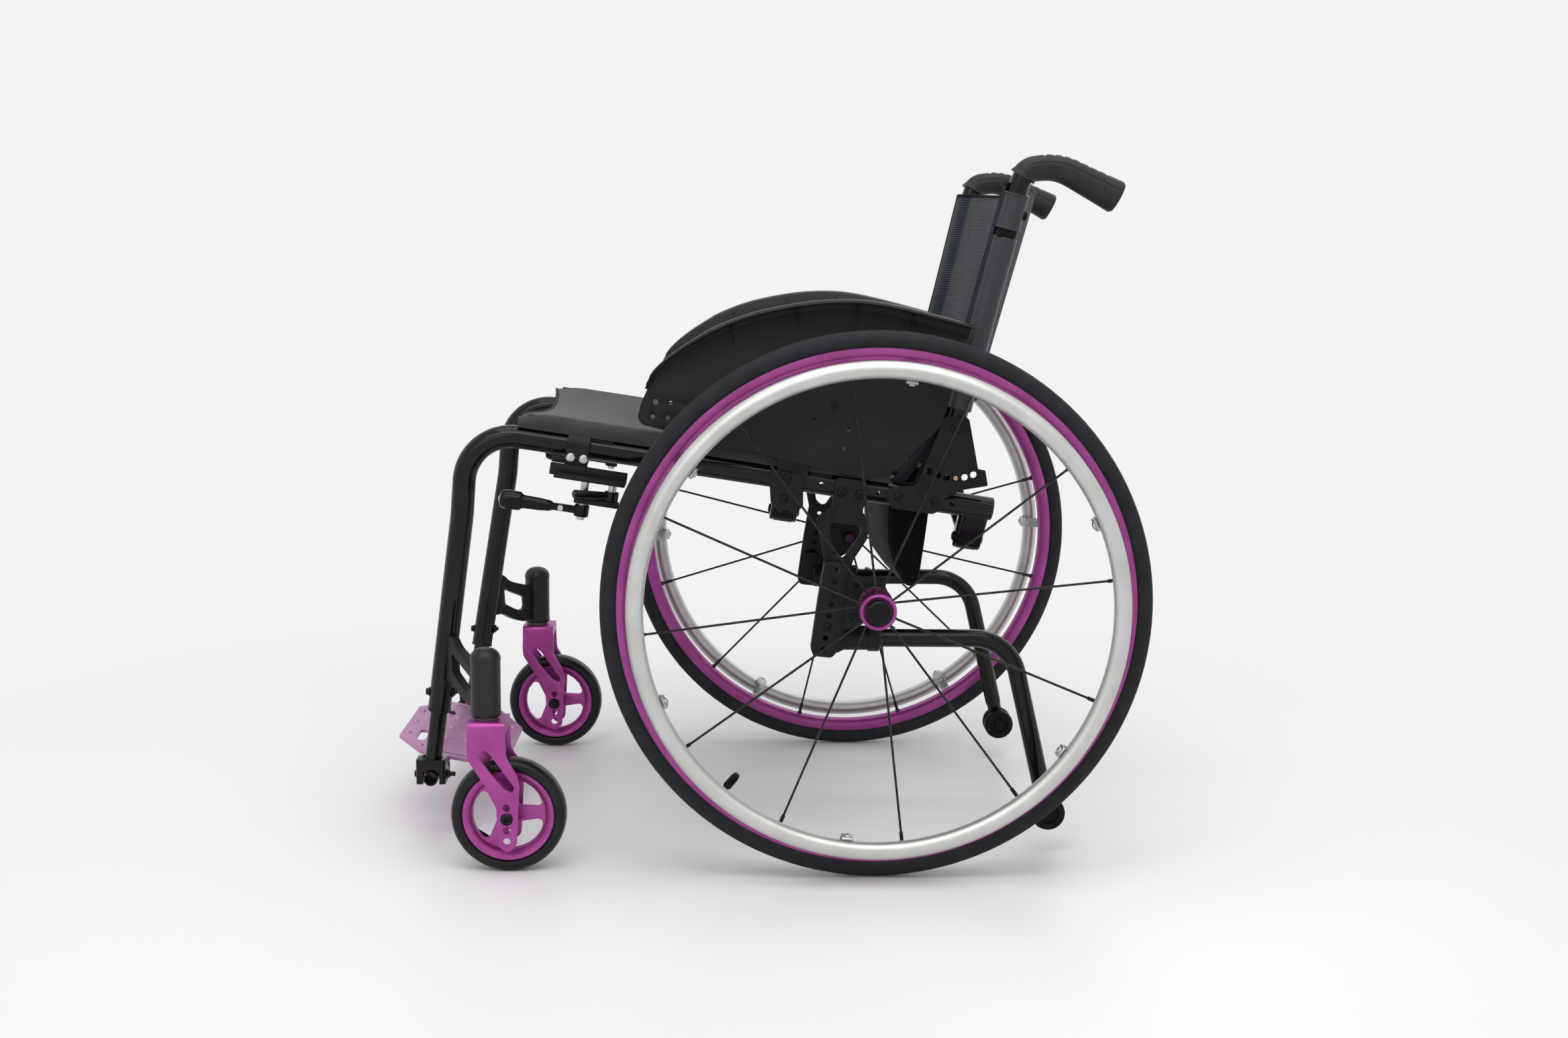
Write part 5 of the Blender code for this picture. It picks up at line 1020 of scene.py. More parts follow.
def make_braces():
    """Two crossing braces with the seat rails that they carry, and their bolts."""
    slope = (CROSS_T - LUG_T) / LUG_X
    for name, side, body in (("cross_brace_a", 1, "cross_brace_a_body"),
                             ("cross_brace_b", -1, "cross_brace_b_body")):
        rail = rod(seat_point(-side * FRAME_X, -0.385, RAIL_T),
                   seat_point(-side * FRAME_X, 0.012, RAIL_T), 0.0065, 28)
        parts = [rail]
        low = (side * LUG_X, LUG_T)
        high = (-side * ARM_X, slope * ARM_X + CROSS_T)
        for station in BRACE_STATIONS:
            s = station + side * BRACE_STAGGER
            parts.append(rod(seat_point(low[0] - side * 0.004, s, low[1] + slope * 0.004),
                             seat_point(high[0], s, high[1]), 0.0095, 32, 0.0012))
            parts.append(rod(seat_point(low[0], s - 0.0095, low[1]),
                             seat_point(low[0], s + 0.0095, low[1]), 0.0100, 28))
            carry = min(s, 0.006)
            if carry < s:
                parts.append(rod(seat_point(high[0], s + 0.0070, high[1]),
                                 seat_point(high[0], carry - 0.006, high[1]), 0.0088, 28))
            shape = [(0.158, high[1] - 0.004), (0.158, high[1] + 0.007),
                     (FRAME_X - 0.0075, RAIL_T + 0.0052), (FRAME_X, RAIL_T + 0.0052),
                     (FRAME_X, RAIL_T - 0.0058), (FRAME_X - TUBE_R - 0.001, RAIL_T - 0.0058),
                     (FRAME_X - TUBE_R - 0.012, high[1] - 0.005)]
            shape = [(-side * u, v) for u, v in shape]
            parts.append(plate(shape, 0.006, seat_frame() @ front_plane(carry), edge=0.0009))
        fit(together(parts), name + "_tubes", body, GLOSS, "frame_black", name, smooth=35)
    for name, station in zip(("brace_bolt_front", "brace_bolt_rear"), BRACE_STATIONS):
        parts = [rod(seat_point(0, station - 0.020, CROSS_T),
                     seat_point(0, station + 0.020, CROSS_T), 0.0038)]
        for face in (-1, 1):
            parts.append(hex_bolt(0.0056, 0.0042,
                                  along(seat_point(0, station + face * 0.0200, CROSS_T),
                                        seat_point(0, station + face * 0.0300, CROSS_T))))
        fit(together(parts), name + "_and_nut", "cross_brace_a_body", BLACK_STEEL,
            "bolt_steel", name, smooth=30)


# Axle plates, guards and anti-tip legs

def make_axle_side():
    """Axle plates and carriers, and the anti-tip legs with their rollers."""
    outline = rounded([
        (-0.043, 0.428), (-0.007, 0.423), (-0.009, 0.402), (-0.013, 0.391), (-0.004, 0.374),
        (-0.008, 0.359), (-0.022, 0.337), (-0.030, 0.313), (-0.038, 0.238), (-0.045, 0.230),
        (-0.065, 0.232), (-0.068, 0.240), (-0.061, 0.293), (-0.054, 0.337), (-0.063, 0.382),
        (-0.046, 0.396)], 0.006)
    window = rounded([(-0.049, 0.379), (-0.014, 0.374), (-0.015, 0.365), (-0.033, 0.339),
                      (-0.044, 0.341)], 0.0045)
    holes = [window] + [hole(-0.040 - i * 0.002, 0.327 - i * 0.0125, 0.0031) for i in range(8)]
    main = plate(outline, 0.005, side_plane(0.2195), holes, 0.0008)
    strip = rounded([
        (-0.0535, 0.3380), (-0.0260, 0.3340), (-0.0300, 0.3130), (-0.0380, 0.2380),
        (-0.0450, 0.2300), (-0.0650, 0.2320), (-0.0680, 0.2400), (-0.0610, 0.2930)], 0.006)
    front = plate(strip, 0.0046, side_plane(0.2310), holes[1:], 0.0010)
    side_screws = [(-0.0440, 0.3020), (-0.0500, 0.2645)]
    fit_pair(together([main, front]), "axle_side_plate", *SIDES, SATIN, "matte_black",
             "axle_plate", smooth=30)

    outline = rounded([
        (-0.0545, 0.3180), (-0.0220, 0.3220), (0.0120, 0.3120), (0.0170, 0.3000),
        (0.0170, 0.2870), (0.0060, 0.2780), (-0.0220, 0.2620), (-0.0600, 0.2560)], 0.007)
    base = plate(outline, 0.0064, side_plane(0.2255), [hole(0, WHEEL_R, 0.0068, 28)], 0.0010)
    sleeve = turned([(0.2285, 0.0170), (0.2300, 0.0165), (0.2330, 0.0145), (0.2340, 0.0138),
                     (0.2480, 0.0130), (0.2516, 0.0130), (0.2520, 0.0122), (0.2520, 0.0072),
                     (0.2500, 0.0068), (0.2235, 0.0068)], toward_x(0, 0, WHEEL_R), 48)
    fit_pair(together([base, sleeve]), "axle_carrier", *SIDES, SATIN, "matte_black",
             "axle_block", smooth=30)
    screws = [button_screw(0.0043, 0.0026, toward_x(0.2332, y, z)) for y, z in side_screws]
    for y, z in ((-0.0200, 0.3120), (-0.0215, 0.2745)):
        screws.append(button_screw(0.0044, 0.0026, toward_x(0.2286, y, z)))
    for y, z in ((-0.0360, 0.4122), (-0.0155, 0.4092)):
        screws.append(button_screw(0.0056, 0.0034, toward_x(0.2219, y, z)))
    fit_pair(together(screws), "axle_side_screws", *SIDES, BLACK_STEEL, "bolt_steel", smooth=30)

    # receiver and leg of the anti-tip
    sleeve = turned([(-0.048, 0.0120), (-0.0465, 0.0136), (-0.0040, 0.0136), (-0.0035, 0.0150),
                     (0.0082, 0.0150), (0.0090, 0.0142), (0.0090, 0.0105), (-0.040, 0.0103)],
                    toward_y(ANTI_X, 0, ANTI_Z), 40)
    lug = plate(rounded([(-0.064, 0.234), (-0.038, 0.232), (-0.030, 0.236), (-0.030, 0.256),
                         (-0.044, 0.276), (-0.060, 0.276)], 0.005), 0.006, side_plane(0.2137),
                edge=0.0008)
    arm = block((ANTI_X, -0.045, 0.238), (0.2137, -0.032, 0.254), 0.001)
    fit_pair(together([sleeve, lug, arm]), "anti_tip_socket", *SIDES, SATIN, "matte_black",
             "anti_tip_receiver", smooth=30)
    foot = Vector((ANTI_X, ANTI_BEND_Y + 0.198 * tan(radians(13.4)), ROLLER_Z))
    corner = Vector((ANTI_X, ANTI_BEND_Y, ANTI_Z))
    down = (foot - corner).normalized()
    pipe = tube(bent([((ANTI_X, -0.0416, ANTI_Z), 0), (corner, 0.051),
                      (foot - down * 0.030, 0)], radians(5)), 0.010, 9)
    taper = turned([(0, 0.0100), (0.004, 0.0094), (0.010, 0.0070), (0.014, 0.0052)],
                   along(foot - down * 0.0302, foot), 32)
    ear = plate(link((foot.y - down.y * 0.035, foot.z - down.z * 0.035), 0.0092,
                     (foot.y, foot.z), 0.0075), 0.006, side_plane(ANTI_X), edge=0.0012)
    swing = ("anti_tip_left", "anti_tip_right")
    fit_pair(together([pipe, taper, ear]), "anti_tip_leg", *swing, GLOSS, "frame_black",
             "anti_tip_tube", smooth=50)
    push = turned([(0, 0.0036), (0.0012, 0.0040), (0.0026, 0.0034), (0.0032, 0.0020)],
                  toward_z(ANTI_X, 0.024, ANTI_Z + 0.0096), 20)
    fit_pair(push, "anti_tip_catch", *swing, STEEL, "bolt_steel")
    half = [(0.0042, 0.0060), (0.0042, 0.0165), (0.0050, 0.0184), (0.0066, 0.0190),
            (0.0112, 0.0190), (0.0130, 0.0182), (0.0138, 0.0160), (0.0132, 0.0115),
            (0.0110, 0.0105), (0.0110, 0.0070), (0.0138, 0.0062), (0.0140, 0.0035)]
    near = turned(half, toward_x(*foot), 48)
    far = turned([(-h, r) for h, r in half], toward_x(*foot), 48)
    pin = turned([(-0.0142, 0.0028), (0.0142, 0.0028)], toward_x(*foot), 20)
    fit_pair(together([near, far, pin]), "twin_roller", "roller_left", "roller_right", PLASTIC,
             "roller_rubber", "anti_tip_roller", smooth=35)


def guard_line():
    """Top edge of the side guard, as (y, z) from the front."""
    return smooth_line([(-0.247, 0.522), (-0.236, 0.537), (-0.213, 0.553), (-0.180, 0.570),
                        (-0.146, 0.585), (-0.112, 0.595), (-0.065, 0.603), (-0.017, 0.604),
                        (0.030, 0.596), (0.098, 0.579)], 5)


def make_guards():
    """Side guards with a rolled top edge, and their holders."""
    top = guard_line()
    lower = rounded([(0.098, 0.579, 0), (0.095, 0.566, 0), (0.071, 0.484, 0.020),
                     (0.017, 0.432, 0.016), (-0.012, 0.427, 0.020), (-0.076, 0.441, 0.04),
                     (-0.259, 0.485, 0.016), (-0.254, 0.506, 0.03), (-0.247, 0.522, 0)],
                    0.01, radians(8))
    lower = [p for p in lower if min((Vector(p) - Vector(q)).length for q in top) > 0.0008]
    holes = [hole(-0.238, 0.508, 0.0030), hole(-0.029, 0.480, 0.0026),
             hole(-0.0665, 0.4905, 0.0024), hole(-0.222, 0.507, 0.0022),
             hole(-0.241, 0.4925, 0.0022), hole(-0.225, 0.4915, 0.0022),
             hole(-0.034, 0.459, 0.0020)]
    panel = plate(top + lower, 0.002, side_plane(0.2200), holes, 0.0005)

    # rolled edge: the top line is drawn up and outwards step by step, less near the front
    roll = strand([Vector((0, 0.01 * i, 0)) for i in range(len(top))])
    for vertex, (y, z) in zip(roll.data.vertices, top):
        vertex.co = (0.2203, y, z - 0.0004)
    ways = []
    for i in range(len(top)):
        a, b = Vector(top[max(i - 1, 0)]), Vector(top[min(i + 1, len(top) - 1)])
        way = (b - a).normalized()
        ways.append(Vector((0, -way.y, way.x)))
    shares = [min(1.0, 0.12 + 0.88 * i / (0.35 * len(top))) for i in range(len(top))]
    rise = [(0.0155 * (1 - cos(a)), 0.0155 * sin(a))
            for a in [radians(9 * i) for i in range(11)]]
    rise += [(0.022, 0.0158), (0.0275, 0.0156), (0.0300, 0.0146), (0.0308, 0.0128)]
    for before, here in zip(rise, rise[1:]):
        count = len(roll.data.vertices)
        for vertex in roll.data.vertices:
            vertex.select = vertex.index >= count - len(top)
        for edge in roll.data.edges:
            edge.select = min(edge.vertices) >= count - len(top)
        pick(roll)
        bpy.ops.object.mode_set(mode="EDIT")
        bpy.ops.mesh.extrude_edges_move(TRANSFORM_OT_translate={"value": (0, 0, 0)})
        clear_bench()
        fresh = roll.data.vertices[count:]
        for vertex, way, share in zip(fresh, ways, shares):
            vertex.co += way * (here[1] - before[1]) * share
            vertex.co.x += (here[0] - before[0]) * share
    thicken(roll, 0.0018, 0)
    face_outwards(roll)
    ribs = []
    for y in (-0.156, -0.086, -0.022, 0.038):
        z = min(top, key=lambda p: abs(p[0] - y))[1]
        ribs.append(plate(rounded([(0.2208, z - 0.020), (0.2208, z + 0.011), (0.231, z + 0.0125),
                                   (0.2250, z - 0.002)], 0.003, radians(30)), 0.0015,
                          front_plane(y), edge=0.0004))
    fit_pair(together([panel, roll] + ribs), "clothes_guard", *SIDES, GUARD, "guard_plastic",
             "side_guard", smooth=28)

    base = plate(rounded([(-0.1155, 0.4365), (-0.078, 0.430), (-0.0775, 0.395), (-0.084, 0.3905),
                          (-0.107, 0.3935), (-0.113, 0.399)], 0.006), 0.0045,
                 side_plane(0.2193), edge=0.0008)
    bar = plate(rounded([(-0.107, 0.420), (-0.104, 0.512), (-0.070, 0.512), (-0.073, 0.415)],
                        0.005), 0.0017, side_plane(0.2179), edge=0.0004)
    feet = [turned([(0.2150, 0.0056), (0.2205, 0.0056), (0.2218, 0.0044)],
                   toward_x(0, y, z), 24) for y, z in ((-0.1025, 0.3950), (-0.0870, 0.3925))]
    fit_pair(together([base, bar] + feet), "guard_post_bracket", *SIDES, SATIN, "matte_black",
             "guard_holder", smooth=30)
    bolts = [button_screw(0.0048, 0.0030, toward_x(0.2216, y, z))
             for y, z in ((-0.0955, 0.4255), (-0.0985, 0.4035))]
    bolts += [hex_bolt(0.0034, 0.0026, toward_x(0.2211, -0.045, 0.506))]
    fit_pair(together(bolts), "guard_screws", *SIDES, BLACK_STEEL, "bolt_steel", smooth=30)


# Back

def make_back():
    """Back plates, posts with their sleeves, and the push grips."""
    lean = ("backrest_left", "backrest_right")
    top_edge = [(0.076, 0.495), (0.101, 0.495)]
    rear_tab = [(0.1124, 0.4378, 0.001), (0.1203, 0.4363, 0.0015), (0.1235, 0.4195, 0.0015),
                (0.094, 0.4145, 0.006)]
    plain_rear = [(0.098, 0.438), (0.093, 0.4145, 0.006)]
    lower_edge = [(0.0765, 0.405, 0.006), (0.074, 0.393, 0.006), (0.064, 0.388), (0.020, 0.394),
                  (0.011, 0.408), (0.0165, 0.4165), (0.0455, 0.4195, 0.006),
                  (0.053, 0.4385, 0.03)]
    outer = rounded(top_edge + rear_tab + lower_edge, 0.007)
    inner = rounded(top_edge + plain_rear + lower_edge, 0.007)
    y, z = BACK_PIVOT
    arc = []
    for i in range(6):
        turn = radians((i - 3) * 10.4 + 1.2)
        arc.append((y + 0.0545 * sin(turn), z - 0.0545 * cos(turn)))
    holes = [hole(u, v, 0.0037) for u, v in arc]
    plates = [plate(outer, 0.004, side_plane(FRAME_X + 0.015), holes, 0.0007),
              plate(inner, 0.004, side_plane(FRAME_X - 0.015), holes[:4], 0.0007)]
    fit_pair(together(plates), "back_plates", *SIDES, SATIN, "matte_black", "back_bracket",
             smooth=30)
    bolts = []
    for bolt_y, bolt_z, head, nut, shank in (
            (0.026, seat_z(0.026), (0.0050, 0.0032), 0.0048, 0.0033),
            (0.067, seat_z(0.067), (0.0050, 0.0032), 0.0048, 0.0033),
            (y, z, (0.0056, 0.0030), 0.0052, 0.0038)):
        bolts.append(button_screw(*head, toward_x(0.2209, bolt_y, bolt_z)))
        bolts.append(hex_bolt(nut, 0.0036, along((0.1871, bolt_y, bolt_z),
                                                 (0.18, bolt_y, bolt_z))))
        bolts.append(rod((0.187, bolt_y, bolt_z), (0.221, bolt_y, bolt_z), shank))
    fit_pair(together(bolts), "back_bolts", *SIDES, BLACK_STEEL, "bolt_steel", smooth=30)

    top = post_point(POST_TOP)
    way = (top - post_point(POST_TOP - 0.01)).normalized()
    x = top.x
    path = bent([
        (top - way * 0.0155, 0),
        ((x + 0.0005, top.y + 0.0030, top.z + 0.0060), 0.0175),
        ((x + 0.001, top.y + 0.038, top.z + 0.0100), 0.055),
        ((x + 0.001, top.y + 0.101, top.z - 0.0215), 0),
        ((x + 0.001, top.y + 0.1036, top.z - 0.0228), 0)], radians(6))
    fine = [path[0]]
    for a, b in zip(path, path[1:]):
        steps = max(1, ceil((b - a).length / 0.0035))
        fine += [a.lerp(b, i / steps) for i in range(1, steps + 1)]
    post = [post_point(v) for v in (0.4865, 0.560, 0.600, 0.622, 0.630, 0.638, 0.680, 0.735)]
    pipe = tube(post + fine[1:12], 0.011, 9)
    eye = turned([(-0.0124, 0.0122), (-0.0116, 0.0130), (0.0116, 0.0130), (0.0124, 0.0122)],
                 toward_x(FRAME_X, y, z), 40)
    lock = arc[3]
    tail = plate(link((y, z), 0.012, lock, 0.0065), 0.008, side_plane(FRAME_X), edge=0.0009)
    fit_pair(together([pipe, eye, tail]), "back_tube", *lean, GLOSS, "frame_black", "back_post",
             smooth=45)
    pin = rod((FRAME_X - 0.0172, *lock), (FRAME_X + 0.0172, *lock), 0.0029, 20)
    fit_pair(pin, "lean_pin", *lean, BRASS, "bolt_steel")

    lower = [(0.5010, 0.0128), (0.5022, 0.0139), (0.5200, 0.0138), (0.6000, 0.0137),
             (0.6290, 0.0137), (0.6300, 0.0137), (0.6780, 0.0138), (0.6870, 0.0139),
             (0.6882, 0.0128)]
    upper = [(0.6962, 0.0128), (0.6968, 0.0144), (0.6984, 0.0146), (0.6990, 0.0140),
             (0.7180, 0.0137), (0.7318, 0.0138), (0.7324, 0.0146), (0.7340, 0.0144),
             (0.7346, 0.0128)]
    sleeves = [tube([post_point(v) for v, r in cover], [r for v, r in cover], 9)
               for cover in (lower, upper)]
    fit_pair(together(sleeves), "post_sleeves", *lean, VINYL, "back_mesh", smooth=40)
    low, high = post_point(0.6880), post_point(0.6962)
    clip = turned([(0, 0.0118), (0.0004, 0.0124), (0.0076, 0.0124), (0.0080, 0.0118)],
                  along(low, high), 32)
    bars = [block((high.x + side * 0.0105 - 0.0012, high.y - 0.0125, 0.6885),
                  (high.x + side * 0.0105 + 0.0012, high.y + 0.0085, 0.6955), 0.0004)
            for side in (-1, 1)]
    fit_pair(together([clip] + bars), "sleeve_clip", *lean, PLASTIC, "back_mesh", smooth=40)
    knob = post_point(0.7130)
    tip = knob + Vector((0, 0.0210, -0.004))
    knob = turned([(0.0125, 0.0048), (0.0140, 0.0052), (0.0160, 0.0050), (0.0172, 0.0036)],
                  along(knob, tip), 20)
    fit_pair(knob, "sleeve_knob", *lean, PLASTIC, "back_mesh")

    # the grip swells towards its end and has a thick lip where the post goes in
    held = fine[6:]
    total = sum((b - a).length for a, b in zip(held, held[1:]))
    radii = []
    run = 0.0
    for i in range(len(held)):
        if i:
            run += (held[i] - held[i - 1]).length
        share = run / total
        radius = 0.0134 + 0.0046 * share ** 1.6
        if i < 2:
            radius = 0.0152 - 0.0009 * i
        radii.append(radius)
    radii[-1] -= 0.0022
    grip = tube(held, radii, 11)
    notches = []
    for i in range(8):
        spot = round((0.34 + 0.072 * i) * (len(held) - 1))
        point = held[spot]
        way = (held[spot + 1] - held[spot - 1]).normalized()
        lift = Vector((0, -way.z, way.y))
        base = point + lift * (radii[spot] + 0.0020)
        reach = Vector((0.010, 0, 0))
        notches.append(rod(base - reach, base + reach, 0.0034, 16))
    grip = take_away(grip, together(notches))
    seams = []
    for side in (-1, 1):
        line = []
        for i in range(6, len(held) - 1):
            way = (held[i + 1] - held[i - 1]).normalized()
            lift = Vector((0, -way.z, way.y))
            line.append(held[i] + (Vector((side * 0.90, 0, 0)) + lift * 0.44) * radii[i])
        seams.append(tube(line, 0.0006, 3))
    fit_pair(together([grip] + seams), "hand_grip", *lean, GRIP, "grip_foam", "push_grip",
             smooth=40)


# Brakes

def make_brakes():
    """Clamps, levers and shoe arms."""
    s = -0.325
    collar = turned([(-0.0125, 0.0165), (-0.0118, 0.0175), (0.0118, 0.0175), (0.0125, 0.0165)],
                    along(seat_point(FRAME_X, s, 0), seat_point(FRAME_X, s + 1, 0)), 44)
    saddle = turned([(-0.02, 0.0078), (0.02, 0.0078)],
                    along(seat_point(FRAME_X, s, RAIL_T), seat_point(FRAME_X, s + 1, RAIL_T)), 24)
    collar = take_away(collar, saddle)
    apron = block((FRAME_X + 0.009, s - 0.0125, -0.0230), (0.2225, s + 0.0125, -0.0010),
                  0.0018, seat_frame())
    upright = block((0.2175, -0.352, -0.0325), (0.2240, -0.268, -0.0195), 0.0012, seat_frame())
    back = block((0.2125, -0.352, -0.0195), (0.2170, -0.332, -0.0125), 0.0010, seat_frame())
    shelf = block((0.2205, -0.345, -0.0325), (0.2480, -0.268, -0.0284), 0.0012, seat_frame())
    lower = block((0.2345, -0.3200, -0.0562), (0.2475, -0.2720, -0.0500), 0.0010, seat_frame())
    fit_pair(together([collar, apron, upright, back, shelf, lower]), "brake_clamp", *SIDES,
             SATIN, "matte_black", "brake_mount", smooth=30)
    pins = []
    for spot, low in ((LEVER_S, -0.0740), (SHOE_S, -0.0550)):
        pins.append(turned([(low, 0.0036), (low + 0.0006, 0.0044), (-0.0300, 0.0044)],
                           seat_frame() @ toward_z(BRAKE_X, spot, 0), 28))
    for spot in (-0.3315, -0.3175):
        pins.append(turned([(0, 0.0052), (0.0014, 0.0052), (0.0028, 0.0042), (0.0034, 0.0022)],
                           seat_frame() @ toward_x(0.2222, spot, -0.0118), 24))
    fit_pair(together(pins), "brake_pins", *SIDES, STEEL, "bolt_steel", smooth=30)

    eye = turned([(-0.0060, 0.0072), (-0.0054, 0.0080), (0.0060, 0.0080), (0.0068, 0.0072)],
                 seat_frame() @ toward_z(BRAKE_X, LEVER_S, -0.0645), 32)
    neck = plate(link((BRAKE_X, LEVER_S), 0.0070, (BRAKE_X, -0.358), 0.0058), 0.0070,
                 seat_frame() @ toward_z(0, 0, LEVER_T), edge=0.0014)
    handle = turned([(-0.3985, 0.0060), (-0.3975, 0.0085), (-0.3945, 0.0100), (-0.3900, 0.0105),
                     (-0.3790, 0.0103), (-0.3765, 0.0098), (-0.3745, 0.0078), (-0.3720, 0.0072),
                     (-0.3560, 0.0068), (-0.3500, 0.0062), (-0.3450, 0.0058), (-0.3420, 0.0046)],
                    along(seat_point(BRAKE_X, 0, LEVER_T), seat_point(BRAKE_X, 1, LEVER_T)), 32)
    lever = ("brake_lever_body_left", "brake_lever_body_right")
    fit_pair(together([eye, neck, handle]), "brake_handle", *lever, CAP, "frame_black",
             "brake_lever", smooth=35)
    screw = turned([(0, 0.0036), (0.0010, 0.0038), (0.0024, 0.0030)],
                   seat_frame() @ toward_x(0.2455, -0.3330, LEVER_T), 20)
    tip = turned([(0, 0.0034), (0.0008, 0.0036), (0.0018, 0.0026)],
                 along(seat_point(BRAKE_X, -0.3985, LEVER_T),
                       seat_point(BRAKE_X, -0.41, LEVER_T)), 20)
    fit_pair(together([screw, tip]), "brake_handle_trim", *lever, STEEL, "bolt_steel",
             smooth=35)
    eye = turned([(-0.0052, 0.0070), (-0.0046, 0.0078), (0.0046, 0.0078), (0.0052, 0.0070)],
                 seat_frame() @ toward_z(BRAKE_X, SHOE_S, SHOE_T), 32)
    reach, turn = 0.045, radians(30)
    tip = seat_point(BRAKE_X + reach * sin(turn), SHOE_S - reach * cos(turn), SHOE_T)
    bar = rod(seat_point(BRAKE_X, SHOE_S, SHOE_T), tip, 0.0046, 24, 0.0012)
    fit_pair(together([eye, bar]), "brake_arm", "brake_shoe_body_left", "brake_shoe_body_right",
             GLOSS, "bolt_steel", "brake_shoe", smooth=35)


# Footrest

def plate_frame():
    """From the footplate's own plane to the chair: it rests on the tube, tilted."""
    rest = (0.008 + 0.0003 + 0.002) / cos(BOARD_TILT)
    height = FOOT_Z + rest + (FOOT_Y - BOARD_Y) * tan(BOARD_TILT)
    return Matrix.Translation((0, BOARD_Y, height)) @ Matrix.Rotation(-BOARD_TILT, 4, "X")


